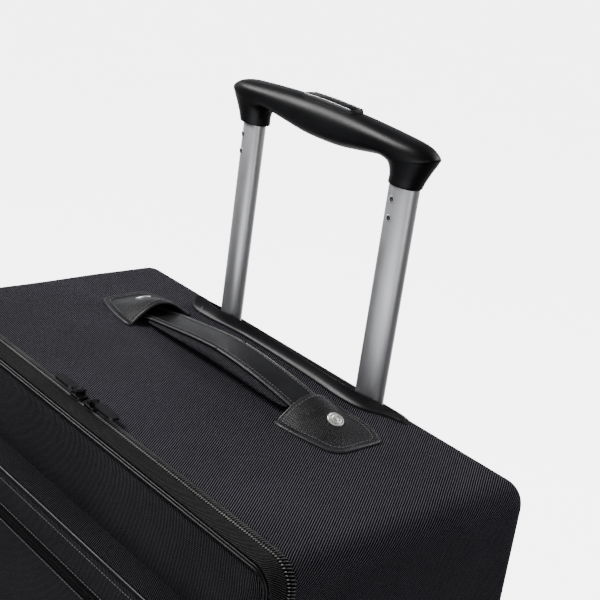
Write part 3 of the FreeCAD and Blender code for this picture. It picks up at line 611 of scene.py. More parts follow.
def outline(step=12 * MM, corner=CORNER, breaks=()):
    """Places round the case in the XZ plane from the bottom centre by the left side.

    Each is (point, outward normal, run), where run is the length measured from the top's
    middle, so that it equals X along the top.
    """
    half_height = (TOP - BOTTOM) / 2
    straight_x = HALF_WIDTH - corner
    straight_z = half_height - corner
    places = []

    def at(x, z):
        return Vector((x, 0, MIDDLE_Z + z))

    def line(start, end, normal):
        count = max(1, round((end - start).length / step))
        marks = {index / count for index in range(count + 1)}
        for spot in breaks:
            if normal.z > 0 and start.x < spot < end.x:
                marks.add((spot - start.x) / (end.x - start.x))
        for mark in sorted(marks)[:-1]:
            places.append((start.lerp(end, mark), normal))

    def bend(middle, first_angle):
        for index in range(8):
            angle = math.radians(first_angle - 90 * index / 8)
            normal = Vector((math.cos(angle), 0, math.sin(angle)))
            places.append((middle + normal * corner, normal))

    line(at(0, -half_height), at(-straight_x, -half_height), -UPWARD)
    bend(at(-straight_x, -straight_z), 270)
    line(at(-HALF_WIDTH, -straight_z), at(-HALF_WIDTH, straight_z), -RIGHTWARD)
    bend(at(-straight_x, straight_z), 180)
    line(at(-straight_x, half_height), at(straight_x, half_height), UPWARD)
    bend(at(straight_x, straight_z), 90)
    line(at(HALF_WIDTH, straight_z), at(HALF_WIDTH, -straight_z), RIGHTWARD)
    bend(at(straight_x, -straight_z), 360)
    line(at(straight_x, -half_height), at(0, -half_height), -UPWARD)
    runs = running([spot for spot, _ in places])
    middle = next(run for (spot, normal), run in zip(places, runs)
                  if normal.z > 0.999 and spot.x >= -1e-6)
    return [(spot, normal, run - middle) for (spot, normal), run in zip(places, runs)]


def upper_run(places, lowest):
    """The part of the outline above a height, which is one open run."""
    return [place for place in places if place[0].z > lowest]


def band_round(name, places, profile, material, closed, ripple=0.0):
    """A skin of (y, outward offset) rows that follows the outline."""
    vertices, surface = [], []
    start = profile[0][0]
    toward = 1 if profile[-1][0] > start else -1
    for (y, out), depth_run in zip(profile, running(profile)):
        for spot, normal, run in places:
            wave = ripple * math.sin(run * 61.0 + y * 90.0) * math.sin(run * 17.0 + 1.3)
            point = spot + normal * (out + wave)
            vertices.append((point.x, y, point.z))
            surface.append((run, start + toward * depth_run))
    faces = grid_faces(len(profile), len(places), wrap=closed)
    return finish_mesh(name, vertices, faces, material, surface)


def coil(name, spots, length, thickness, pitch_share, slant, material):
    """Zip coil elements: one rounded, slightly slanted loop at each (point, along, across, up)."""
    tubes = []
    for point, along, across, up in spots:
        rings = []
        for station in range(5):
            share = station / 4
            arch = math.sin(math.pi * share)
            reach = (share - 0.5) * length
            round_off = max(0.25, arch ** 0.5)
            centre = (point + across * reach + along * reach * slant
                      + up * thickness * 0.35 * arch)
            rings.append([centre
                          + along * math.cos(angle) * thickness * pitch_share * round_off
                          + up * math.sin(angle) * thickness * 0.5 * round_off
                          for angle in angles(6)])
        tubes.append(rings)
    return many_tubes(name, tubes, material)


def spaced(places, pitch, offset=0.0):
    """(point, along, outward) at an even pitch along a run of outline places."""
    made = []
    carried = offset
    for (start, first, _), (end, second, _) in zip(places, places[1:]):
        gap = end - start
        length = gap.length
        while carried < length:
            share = carried / length
            outward = first.lerp(second, share).normalized()
            made.append((start.lerp(end, share), gap / length, outward))
            carried += pitch
        carried -= length
    return made


# ---------------------------------------------------------------- bezel section

# Places along the bezel in mm: X, Y of its lip, then Y and Z of its ridge.
BEZEL_STATIONS = (
    (-131.8, 113.0, 115.0, 661.5), (-130.6, 109.8, 112.4, 664.6), (-127.5, 106.0, 109.0, 668.2),
    (-122.5, 103.0, 106.6, 671.4), (-116.0, 101.2, 105.4, 673.7), (-109.5, 100.7, 105.2, 674.4),
    (-106.0, 100.6, 105.2, 673.6), (-103.0, 100.6, 105.2, 672.5), (-99.0, 100.8, 105.2, 671.8),
    (-94.0, 101.0, 105.2, 671.4),
    (-84.0, 102.2, 105.4, 671.6), (-70.0, 104.2, 106.8, 671.7), (-52.0, 105.6, 108.6, 671.5),
    (-20.0, 105.5, 109.0, 671.3), (20.0, 104.3, 108.4, 670.7), (45.0, 103.0, 107.2, 670.5),
    (64.0, 101.4, 105.8, 671.3), (80.0, 101.8, 105.8, 671.7), (91.0, 103.8, 107.6, 670.8),
    (100.0, 108.6, 113.0, 668.8), (107.0, 112.8, 117.2, 667.0), (114.0, 115.6, 120.0, 665.6),
    (120.0, 117.0, 121.4, 663.8), (124.5, 118.4, 121.9, 662.0), (127.0, 120.0, 122.0, 660.6),
)
BEZEL_RUN = spline([Vector(station) * MM for station in BEZEL_STATIONS], 5)
TROUGH_ENDS = (-117.5 * MM, 106 * MM)


def bezel_plan(x):
    """Lip Y, ridge Y and Z, back Y and share of its rounded end at a place along the bezel."""
    for before, after in zip(BEZEL_RUN, BEZEL_RUN[1:]):
        if x <= after[0]:
            break
    share = min(1.0, max(0.0, (x - before[0]) / (after[0] - before[0])))
    _, lip, ridge_y, ridge_z = before.lerp(after, share)
    end = min(1.0, max(0.0, (-x - 112 * MM) / (20 * MM), (x - 106 * MM) / (21 * MM)))
    back = 135 * MM - 15 * MM * (1 - math.sqrt(1 - end ** 2))
    return lip, ridge_y, ridge_z, back, end


def trough_walls(x):
    """Front and back wall of the trough in Y at a place along the bezel."""
    turn = 9 * MM
    past = max(0.0, TROUGH_ENDS[0] + turn - x, x - TROUGH_ENDS[1] + turn)
    depth = 11 * MM * math.sqrt(max(0.0, 1 - (past / turn) ** 2))
    middle = 117 * MM
    ridge_y = bezel_plan(x)[1]
    return min(max(middle - depth, ridge_y + 0.8 * MM), middle), middle + depth


def hole_front(x):
    """Front edge in Y of the fabric's hole, which the bezel's lip covers."""
    return (bezel_plan(x)[0] + trough_walls(x)[0]) / 2


# ---------------------------------------------------------------- fabric case

TROUGH_Y = (106 * MM, 128 * MM)
FOLD = ZIP_LINE + 3.6 * MM
WHEEL_ROOM_X, WHEEL_ROOM_FRONT = (172 * MM, 226 * MM), 68 * MM
# The fabric swells between its seams, but not round the bezel and the top handle.
SWELL, SWELL_LENGTH = 1.0 * MM, 180 * MM
STIFF_X, STIFF_FRONT = 150 * MM, 90 * MM


def shell_rows():
    """Rows (y, outward offset) of the outer fabric, from the fold at the zip to the back."""
    rows = [(FOLD, -2.2 * MM), (FOLD - 0.5 * MM, -0.9 * MM), (FOLD, -0.1 * MM),
            (FOLD + 1.5 * MM, 0.35 * MM), (SHELL_FRONT, 0.1 * MM)]
    depths = {SHELL_FRONT + 12 * MM + 12 * MM * index for index in range(11)}
    depths |= {*TROUGH_Y, BACK - BACK_ROUND}
    rows += [(y, 0.0) for y in sorted(depths) if y <= BACK - BACK_ROUND]
    for index in range(1, 8):
        angle = math.radians(90 * index / 8)
        rows.append((BACK - BACK_ROUND * (1 - math.sin(angle)),
                     -BACK_ROUND * (1 - math.cos(angle))))
    return rows


def shell_point(spot, normal, run, y, out):
    """A point of the outer fabric, which swells a little between its seams."""
    swell = SWELL * math.sin(math.pi * min(1.0, (y - SHELL_FRONT) / SWELL_LENGTH))
    swell *= 0.5 + 0.5 * math.sin(run * 23.0 + 0.7) * math.sin(y * 37.0 + run * 9.0)
    stiff = abs(spot.x) < STIFF_X and normal.z > 0.9 and y > STIFF_FRONT
    if stiff or y <= SHELL_FRONT:
        swell = 0.0
    return spot + normal * (out + swell * (1 if out == 0 else 0.3))


def build_shell():
    """The sewn outer fabric: top, sides and bottom, open over the trough and the wheels."""
    places = outline(breaks=TROUGH_ENDS)
    rows = shell_rows()
    vertices, surface = [], []
    for (y, out), depth_run in zip(rows, running(rows)):
        for spot, normal, run in places:
            point = shell_point(spot, normal, run, y, out)
            depth = y
            inside = TROUGH_ENDS[0] <= spot.x <= TROUGH_ENDS[1] and normal.z > 0.99
            if inside and y == TROUGH_Y[0]:
                depth = hole_front(spot.x)
            vertices.append((point.x, depth, point.z))
            surface.append((run, SHELL_FRONT + depth_run + depth - y))

    def is_open(row, column):
        first, second = places[column], places[(column + 1) % len(places)]
        x = (first[0].x + second[0].x) / 2
        y = (rows[row][0] + rows[row + 1][0]) / 2
        if first[1].z < -0.99 and WHEEL_ROOM_X[0] < abs(x) < WHEEL_ROOM_X[1]:
            return y > WHEEL_ROOM_FRONT
        on_top = first[1].z > 0.99 and second[1].z > 0.99
        return (on_top and TROUGH_ENDS[0] < x < TROUGH_ENDS[1]
                and TROUGH_Y[0] < y < TROUGH_Y[1])

    faces = grid_faces(len(rows), len(places), wrap=True, skip=is_open)
    shell = finish_mesh("fabric_shell", vertices, faces, "twill", surface)
    place_piece(shell, "case", "ballistic_fabric", "top_panel", "side_panel_left",
                "side_panel_right", "bottom_panel")


def build_back():
    """The slightly puffed back of the case and the piping round it."""
    places = outline(breaks=TROUGH_ENDS)
    half_height = (TOP - BOTTOM) / 2
    insets = (BACK_ROUND, 24 * MM, 50 * MM, 90 * MM, 140 * MM, 190 * MM, 225 * MM)
    vertices = []
    for inset in insets:
        puff = 1.5 * MM * min(1.0, (inset - BACK_ROUND) / 40 / MM)
        reach_x = (HALF_WIDTH - inset) / HALF_WIDTH
        reach_z = (half_height - inset) / half_height
        for spot, normal, _ in places:
            point = Vector((spot.x * reach_x, BACK + puff,
                            MIDDLE_Z + (spot.z - MIDDLE_Z) * reach_z))
            if inset == BACK_ROUND:
                point = spot - normal * BACK_ROUND
                point.y = BACK
            vertices.append(point)
    faces = grid_faces(len(insets), len(places), wrap=True)
    faces.append(end_caps(len(insets), len(places))[1])
    back = finish_mesh("fabric_back", vertices, faces, "twill", [(v.x, v.z) for v in vertices])
    place_piece(back, "case", "ballistic_fabric", "back_panel")

    path = []
    for spot, normal, _ in places:
        point = spot - normal * (BACK_ROUND - 1 * MM)
        path.append(Vector((point.x, BACK + 0.4 * MM, point.z)))
    seam = bead("back_seam", path, 1.6 * MM, "piping", closed=True, up=BACKWARD)
    place_piece(seam, "case", "piping")


def build_lining():
    """The cloth lining inside the case and the lid."""
    places = outline(step=9 * MM, corner=20 * MM)
    profile = [(-65.8 * MM, -2.6 * MM), (-65.0 * MM, -5 * MM), (-63 * MM, -9 * MM)]
    profile += [(-63 * MM + 16 * MM * index, -9.4 * MM) for index in range(1, 11)]
    profile.append((99.5 * MM, -10 * MM))
    skin = band_round("case_lining", places, profile, "lining_cloth", True, 0.5 * MM)
    place_piece(skin, "case", "lining_fabric", "lining", "frame_hoops")
    for name, y, inset, body in (("back_lining", 99.2 * MM, 10 * MM, "case"),
                                 ("lid_lining", -87.2 * MM, 3 * MM, "lid")):
        sheet = flat_sheet(name, y, inset, "lining_cloth")
        place_piece(sheet, body, "lining_fabric")


def build_wheel_covers():
    """The lining over the two wheel housings, which reach into the case."""
    margin = 3 * MM
    bottom = BOTTOM + 6 * MM
    for name, _ in SIDES:
        low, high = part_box(f"wheel_housing_{name}")
        left = max(low.x - margin, -HALF_WIDTH + 7 * MM)
        wide = min(high.x + margin, HALF_WIDTH - 7 * MM) - left
        tall = high.z + margin - bottom
        front = low.y - margin
        rows = ((0, 101 * MM), (0, 88 * MM), (0.3, front + 5 * MM), (1.5, front + 1.5 * MM),
                (4, front), (20, front - 0.6 * MM))
        cover = puffed_panel(f"wheel_cover_{name}", (left, bottom, wide, tall), 9 * MM, rows,
                             "lining_cloth", front - 0.7 * MM)
        place_piece(cover, "case", "lining_fabric")


def flat_sheet(name, y, inset, material):
    """A gently uneven sheet across the whole outline at one depth."""
    columns, rows = 24, 32
    low_z, high_z = BOTTOM + inset, TOP - inset
    half = HALF_WIDTH - inset
    vertices, surface = [], []
    for row in range(rows + 1):
        z = low_z + (high_z - low_z) * row / rows
        edge = min(z - low_z, high_z - z)
        rise = max(0.0, CORNER - edge)
        reach = half - CORNER + math.sqrt(max(0.0, CORNER ** 2 - rise ** 2))
        for column in range(columns + 1):
            x = reach * (2 * column / columns - 1)
            lift = 0.6 * MM * math.sin(x * 47.0 + z * 11.0) * math.sin(z * 31.0)
            vertices.append((x, y + lift, z))
            surface.append((x, z))
    return finish_mesh(name, vertices, grid_faces(rows + 1, columns + 1), material, surface)


ZIP_PITCH = 2.3 * MM


def build_main_zip():
    """Tapes and coils of the main zip, half on the case and half on the lid."""
    places = upper_run(outline(), BOTTOM + 24 * MM)
    # The coil materials carry painted highlights: lit sides on the case half, glints on the lid
    # half.
    halves = (("case", 1, "case_tape_cloth", FOLD + 1.5 * MM, "nylon", 4.6 * MM, 1.2 * MM),
              ("lid", -1, "tape_cloth", BAND_REAR - 1 * MM, "bright_nylon", 1.9 * MM, 2.5 * MM))
    for body, side, cloth, far, nylon, length, reach in halves:
        near = ZIP_LINE + side * 0.2 * MM
        profile = [(near, -2.4 * MM), (near, -1.2 * MM), (near + side * 3.0 * MM, -1.1 * MM),
                   (far, -1.0 * MM), (far, -2.4 * MM)]
        tape = band_round(f"{body}_zip_tape", places, profile, cloth, False)
        place_piece(tape, body, "zip_tape", f"{body}_zipper_half")
        spots = []
        for point, along, outward in spaced(places, ZIP_PITCH, ZIP_PITCH / 2 * (side > 0)):
            centre = point - outward * 0.15 * MM
            centre.y = ZIP_LINE + side * reach
            spots.append((centre, along, Vector((0, side, 0)), outward))
        made = coil(f"{body}_zip_coil", spots, length, 1.15 * MM, 0.31, 0.3 * side, nylon)
        place_piece(made, body, "zip_tape")


# ---------------------------------------------------------------- lid

def puffed_panel(name, area, radius, rows, material, centre_y):
    """A puffed panel over an area, from rows of (inset in mm, depth) and its middle's depth."""
    rings = [rounded_rectangle(area, radius, inset * MM, y) for inset, y in rows]
    count = len(rings[0])
    vertices = [point for ring in rings for point in ring]
    surface = []
    for index, ring in enumerate(rings):
        for column, point in enumerate(ring):
            inner = rings[-1][column]
            steps = zip(rings[index:], rings[index + 1:])
            reach = sum((outer[column] - nearer[column]).length for outer, nearer in steps)
            away = Vector((point.x - inner.x, point.z - inner.z)).normalized() * reach
            surface.append((inner.x + away.x, inner.z + away.y))
    faces = grid_faces(len(rings), count, wrap=True)
    base = len(vertices)
    left, bottom, wide, tall = area
    centre = Vector((left + wide / 2, centre_y, bottom + tall / 2))
    vertices.append(centre)
    surface.append((centre.x, centre.z))
    last = (len(rings) - 1) * count
    for column in range(count):
        faces.append((last + column, last + (column + 1) % count, base))
    return finish_mesh(name, vertices, faces, material, surface)


def rounded_rectangle(area, radius, inset, y):
    """Points round an area (left, bottom, width, height), the same count at every inset."""
    left, bottom, wide, tall = area
    columns = max(2, round((wide - 2 * radius) / (12 * MM)))
    rows = max(2, round((tall - 2 * radius) / (12 * MM)))
    radius_now = max(radius - inset, 0.5 * MM)
    low_x, high_x = left + inset + radius_now, left + wide - inset - radius_now
    low_z, high_z = bottom + inset + radius_now, bottom + tall - inset - radius_now
    arcs = []
    for x, z, first in ((low_x, low_z, 270), (low_x, high_z, 180), (high_x, high_z, 90),
                        (high_x, low_z, 360)):
        turns = [math.radians(first - 90 * part / 6) for part in range(7)]
        arcs.append([Vector((x + radius_now * math.cos(turn), y,
                             z + radius_now * math.sin(turn))) for turn in turns])
    points = []
    for arc, following, count in zip(arcs, arcs[1:] + arcs[:1], (rows, columns, rows, columns)):
        points += arc
        points += [arc[-1].lerp(following[0], part / count) for part in range(1, count)]
    return points


def build_lid():
    """The lid's band, piping and puffed front panel."""
    places = outline()
    rear = ZIP_LINE - 3.7 * MM
    profile = [(BAND_REAR, -2.4 * MM), (rear, -2.2 * MM), (rear + 0.4 * MM, -1.0 * MM),
               (rear, -0.2 * MM), (rear - 1.2 * MM, 0.3 * MM)]
    profile += [(y * MM, out * MM) for y, out in (
        (-84.0, 0.4), (-87.2, -0.2), (-89.8, -1.2), (-91.2, -2.3), (-90.6, -3.2), (-89.4, -4.2),
        (-89.0, -8.4))]
    band = band_round("lid_band_cloth", places, profile, "band_cloth", True, 0.15 * MM)
    place_piece(band, "lid", "ballistic_fabric", "lid_band")
    ridges = []
    for depth, inset, radius in ((-91.4, 4.3, 0.9), (-91.8, 6.4, 1.1)):
        for step in range(8):
            angle = math.radians(110 - 220 * step / 7)
            ridges.append(((depth - radius * math.cos(angle)) * MM,
                           (radius * math.sin(angle) - inset) * MM))
    piping = band_round("lid_piping_bead", places, ridges, "piping", True)
    place_piece(piping, "lid", "piping", "lid_piping")

    area = (-HALF_WIDTH, BOTTOM, 2 * HALF_WIDTH, TOP - BOTTOM)
    rows = [(inset, y * MM) for inset, y in (
        (8.0, -89.0), (8.8, -90.4), (11, -92.0), (16, -93.2), (26, -94.2), (50, -95),
        (110, -95.5), (170, -95.8), (220, -96))]
    front = puffed_panel("lid_front_cloth", area, CORNER, rows, "face_twill", -96 * MM)
    place_piece(front, "lid", "ballistic_fabric", "lid_panel")


def build_lid_hinge():
    """The fabric hinge under the zip line."""
    half, reach = HALF_WIDTH - 22 * MM, 12 * MM
    depths = [ZIP_LINE + reach - reach * index / 6 for index in range(13)]
    section = [(y, -0.7 * MM) for y in depths] + [(y, 0.5 * MM) for y in reversed(depths)]
    rings, surface = [], []
    for column in range(41):
        x = half * (column / 20 - 1)
        rings.append([Vector((x, y, BOTTOM + z)) for y, z in section])
        surface += [(x, y) for y, _ in section]
    strip = loft("lid_hinge_cloth", rings, "band_cloth", surface=surface)
    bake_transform(strip)


POCKET_WIDTH, POCKET_CORNER = 390 * MM, 24 * MM


def build_pocket(name):
    """A stuffed front pocket with its piping and stitched rim."""
    low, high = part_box(f"{name}_pocket")
    rear, face = high.y, low.y
    tall = high.z - low.z
    area = (-POCKET_WIDTH / 2, low.z, POCKET_WIDTH, tall)
    rows = [(inset, rear + (face - rear) * depth) for inset, depth in (
        (0, 0.0), (-1.0, 0.3), (-0.6, 0.7), (0, 0.86), (1.6, 0.95), (5, 1.0), (16, 1.03),
        (45, 1.06), (80, 1.07), (tall / 2 / MM - 4, 1.075))]
    body = puffed_panel(f"{name}_pocket_cloth", area, POCKET_CORNER, rows, "face_twill",
                        rows[-1][1])
    place_piece(body, "lid", "ballistic_fabric", f"{name}_pocket")
    rim = rounded_rectangle(area, POCKET_CORNER, 0.6 * MM, face * 0.985)
    edge = bead(f"{name}_pocket_piping", rim, 1.7 * MM, "piping", closed=True, up=BACKWARD)
    place_piece(edge, "lid", "piping")
    sewn = rounded_rectangle(area, POCKET_CORNER, 6 * MM, face - 0.4 * MM)
    row = stitches(f"{name}_pocket_stitches", sewn, -BACKWARD, closed=True)
    place_piece(row, "lid", "ballistic_fabric")
    build_pocket_zip(name, high.z - 29.5 * MM, face - 2.2 * MM)


def build_pocket_zip(name, line, front):
    """A pocket's zip: its tape, coil and two rows of stitches."""
    half = POCKET_WIDTH / 2 - 20 * MM
    vertices = [Vector((half * share, y, line + z))
                for z, y in ((6 * MM, front + 1.6 * MM), (5 * MM, front), (-5 * MM, front),
                             (-6 * MM, front + 1.6 * MM))
                for share in (-1, -0.5, 0, 0.5, 1)]
    strip = finish_mesh(f"{name}_pocket_tape", vertices, grid_faces(4, 5), "tape_cloth",
                        [(v.x, v.z) for v in vertices])
    place_piece(strip, "lid", "zip_tape", "pocket_zippers")
    pitch = 1.8 * MM
    spots = []
    for index in range(int(2 * half / pitch)):
        for side, share in ((1, 0.25), (-1, 0.75)):
            point = Vector((-half + (index + share) * pitch, front - 0.4 * MM,
                            line + side * 1.3 * MM))
            spots.append((point, RIGHTWARD, UPWARD * side, -BACKWARD))
    teeth = coil(f"{name}_pocket_coil", spots, 2.4 * MM, 1.15 * MM, 0.5, 0.0, "piping")
    place_piece(teeth, "lid", "zip_tape")
    reach = int(half / MM)
    for label, side in (("high", 1), ("low", -1)):
        seam = [Vector((x * MM, front - 0.2 * MM, line + side * 6.2 * MM))
                for x in range(-reach, reach + 1, 10)]
        row = stitches(f"{name}_pocket_zip_stitches_{label}", seam, -BACKWARD)
        place_piece(row, "lid", "zip_tape")


# ---------------------------------------------------------------- carry handles

class Seat:
    """Where a carry handle sits: along, across and away from the panel."""

    def __init__(self, origin, along, across, away):
        self.origin = origin
        self.along = along
        self.across = across
        self.away = away

    def at(self, s, t, h):
        """A point from its place along, across and above the panel."""
        return self.origin + self.along * s + self.across * t + self.away * h


STRAP_HALF = 14 * MM
STRAP_THICK = 3.0 * MM
STRAP_BEND = 93 * MM
STRAP_END = STRAP_BEND + 28 * MM
PAD_REACH = STRAP_BEND - 4 * MM


def strap_height(s):
    """Height of the strap's top face: an arc that rests a little lower towards one end."""
    share = min(1.0, abs(s) / STRAP_BEND)
    arc = 18 * MM - 7.6 * MM * share ** 2
    beyond = max(0.0, abs(s) - STRAP_BEND)
    slack = min(1.0, max(0.0, 8 * MM - s) / (76 * MM))
    return arc - beyond * 0.2 - 3.4 * MM * slack ** 2 * (3 - 2 * slack)


def strap_section(s):
    """Section of the strap: a flat band with softly rounded edges and a slight crown."""
    top = strap_height(s)
    ring = []
    for step in range(13):
        t = STRAP_HALF * (2 * step / 12 - 1)
        crown = 0.5 * MM * (1 - (t / STRAP_HALF) ** 2)
        drop = 0.5 * MM if step in (0, 12) else 0.0
        ring.append((t, top - 0.5 * MM + crown - drop))
    ring.append((STRAP_HALF, top - STRAP_THICK))
    ring.append((-STRAP_HALF, top - STRAP_THICK))
    return ring


def pad_section(s):
    """Section of the pad under the strap: a stuffed sleeve, full in the middle."""
    share = min(1.0, abs(s) / PAD_REACH)
    full = (1 - share ** 8) ** 0.5
    top = strap_height(s) - STRAP_THICK + 0.2 * MM
    thick = max(0.4 * MM, (top - 4.9 * MM) * full)
    half = (STRAP_HALF + 4.5 * MM) * (0.84 + 0.16 * full)
    return [(half * rounded(math.cos(angle), 0.62),
             top - thick / 2 + thick / 2 * rounded(math.sin(angle), 0.75))
            for angle in angles(24)]


def handle_half(label, seat, name, side):
    """Strap, pad, edge beads and stitches of one half of a carry handle."""
    overlap = 2 * MM
    stations, pad_stations = [[side * (-overlap + (reach + overlap) * index / 30)
                               for index in range(31)] for reach in (STRAP_END, PAD_REACH)]

    def along_strap(across, drop):
        return [seat.at(s, across, strap_height(s) - drop) for s in stations]

    strap = section_skin(f"{label}_strap_{name}", seat.at, "strap_leather", stations,
                         strap_section)
    pad = section_skin(f"{label}_pad_{name}", seat.at, "pad_cloth", pad_stations, pad_section)
    parts = [(strap, "pu_leather", [f"{label}_handle_strap"]),
             (pad, "pad_fabric", [f"{label}_handle_pad"])]
    for edge_name, edge in (("front", -1), ("back", 1)):
        rim = bead(f"{label}_strap_bead_{edge_name}_{name}",
                   along_strap(edge * STRAP_HALF, 1.1 * MM), 0.85 * MM, "edge_paint",
                   up=seat.away)
        row = stitches(f"{label}_strap_stitches_{edge_name}_{name}",
                       along_strap(edge * (STRAP_HALF - 3.2 * MM), 0.1 * MM), seat.away)
        parts += [(rim, "pu_leather", []), (row, "pu_leather", [])]
    start = seat.at(side * STRAP_END, 0, strap_height(STRAP_END))
    end = seat.at(side * (STRAP_BEND - 18 * MM), 0, strap_height(STRAP_END))
    for made, slot_name, replaced in parts:
        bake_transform(made)
        if replaced:
            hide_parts(*replaced)


CHAPE_NEAR, CHAPE_FAR = 95 * MM, 151 * MM
CHAPE_SKIN = 2.3 * MM


def chape_edges(s):
    """Lowest and highest place across the chape at a distance along the handle."""
    share = (s - CHAPE_NEAR) / (CHAPE_FAR - CHAPE_NEAR)
    low = -30 * MM + 10 * MM * share ** 1.7
    high = 30 * MM - 9 * MM * max(0.0, (share - 0.5) * 2) ** 1.6
    trims = []
    for turn in (8 * MM, 3.5 * MM):
        tail = max(0.0, s - (CHAPE_FAR - turn)) / turn
        trims.append(turn * (1 - math.sqrt(max(0.0, 1 - tail ** 2))))
    return low + trims[0], high - trims[1]


def chape_rise(s, t):
    """Height of the chape's top face: a flat rim with a hump over the strap."""
    share = (s - CHAPE_NEAR) / (50 * MM)
    fade = 0.5 + 0.5 * math.cos(math.pi * min(1.0, max(0.0, share)))
    height = 15.0 * MM * fade ** 0.75
    half = (27.5 - 4 * share) * MM
    across = min(1.0, abs(t) / half)
    return CHAPE_SKIN + height * math.cos(across * math.pi / 2) ** 0.95


def chape_skin(name, seat):
    """The chape's leather: a top and a bottom face joined round the rim."""
    stations = [CHAPE_NEAR + (CHAPE_FAR - CHAPE_NEAR) * (1 - (1 - index / 26) ** 1.25)
                for index in range(27)]
    columns = 36
    vertices, surface = [], []
    for level in (0.0, -CHAPE_SKIN):
        for s in stations:
            low, high = chape_edges(s)
            for column in range(columns + 1):
                t = low + (high - low) * column / columns
                vertices.append(seat.at(s, t, chape_rise(s, t) + level))
                surface.append((s, t))
    rows = len(stations)
    width = columns + 1
    faces = grid_faces(rows, width)
    under = rows * width
    faces += [tuple(index + under for index in face[::-1]) for face in faces]
    rim = list(range(width))
    rim += [row * width + columns for row in range(1, rows)]
    rim += [(rows - 1) * width + column for column in range(columns - 1, -1, -1)]
    rim += [row * width for row in range(rows - 2, 0, -1)]
    for first, second in zip(rim, rim[1:] + rim[:1]):
        faces.append((first, second, second + under, first + under))
    return finish_mesh(name, vertices, faces, "saffiano", surface)


def chape_edge(seat, inset, lift):
    """Points round the chape inside its edge by an inset."""
    length = CHAPE_FAR - CHAPE_NEAR
    near = CHAPE_NEAR + inset
    reach = length - 2 * inset
    steps = [near + reach * (1 - (1 - index / 22) ** 1.6) for index in range(1, 23)]

    def point(s, t):
        return seat.at(s, t, chape_rise(s, t) + lift)

    def beside(s):
        low, high = chape_edges(CHAPE_NEAR + (s - near) * length / reach)
        return point(s, low + inset), point(s, high - inset)

    low, high = chape_edges(CHAPE_NEAR)
    low, high = low + inset, high - inset
    return ([point(near, high + (low - high) * index / 24) for index in range(25)]
            + [beside(s)[0] for s in steps] + [beside(s)[1] for s in reversed(steps)])


# Radius and height of the stud's rings in mm: a flat rim, then a dome with two fine grooves.
STUD_PROFILE = ((6.4, -0.4), (6.4, 0.9), (6.1, 1.4), (5.4, 1.55), (5.1, 1.1), (4.6, 1.1),
                (4.3, 1.7), (3.0, 1.85), (2.7, 1.45), (2.2, 1.45), (1.9, 1.9), (0.3, 1.95))


def chape_stud(name, seat):
    """The polished stud, square to the chape's sloping top."""
    middle, t = CHAPE_NEAR + 28 * MM, 1.5 * MM
    behind, centre, ahead = [seat.at(s, t, chape_rise(s, t))
                             for s in (middle - 5 * MM, middle, middle + 5 * MM)]
    tangent = (ahead - behind).normalized()
    normal = (seat.away - tangent * seat.away.dot(tangent)).normalized()
    return turned(name, centre - normal * 0.6 * MM, normal, tangent, STUD_PROFILE, 40, "chrome")


def build_chape(label, seat, side, node_name):
    """One stitched leather chape over the end of a carry handle's strap, with its stud."""
    seat = Seat(seat.origin, seat.along * side, seat.across, seat.away)
    leather = chape_skin(f"{label}_leather", seat)
    place_piece(leather, "case", "pu_leather", node_name)
    rim = bead(f"{label}_edge", chape_edge(seat, 0.0, -1.1 * MM), 1.25 * MM, "edge_paint",
               closed=True, up=seat.away)
    place_piece(rim, "case", "pu_leather")
    row = stitches(f"{label}_stitches", chape_edge(seat, 3.6 * MM, 0.05 * MM), seat.away,
                   closed=True)
    place_piece(row, "case", "pu_leather")
    place_piece(chape_stud(f"{label}_stud", seat), "case", "bright_stud", "chape_studs")


def build_handles():
    """Both carry handles and the chapes that hold them."""
    middle = middle_of("top_handle_strap")
    top = Seat(Vector((middle.x, middle.y, TOP)), RIGHTWARD, BACKWARD, UPWARD)
    middle = middle_of("side_handle_strap")
    beside = Seat(Vector((HALF_WIDTH, middle.y, middle.z)), -UPWARD, BACKWARD, RIGHTWARD)
    for label, seat in (("top", top), ("side", beside)):
        for name, side in SIDES:
            handle_half(label, seat, name, side)
    build_chape("chape_left", top, -1, "chape_left")
    build_chape("chape_right", top, 1, "chape_right")
    build_chape("side_chape_high", beside, -1, "side_chapes")
    build_chape("side_chape_low", beside, 1, "side_chapes")


# ---------------------------------------------------------------- trolley

TUBE_LINE = 116 * MM
TUBE_SPREAD = 86 * MM
TUBE_TILT = math.radians(10)
TUBE_FACE = 7.1 * MM
TUBE_SIZES = {"outer": (15.9 * MM, 10.7 * MM), "middle": (14.1 * MM, 8.9 * MM),
              "upper": (12.3 * MM, 7.1 * MM)}


# Share of the way from the lip to the ridge, in Y and then in Z: nearly flat, then steep.
BEZEL_SLOPE = ((0.28, 0.10), (0.56, 0.32), (0.79, 0.62), (0.94, 0.88), (1.0, 1.0))


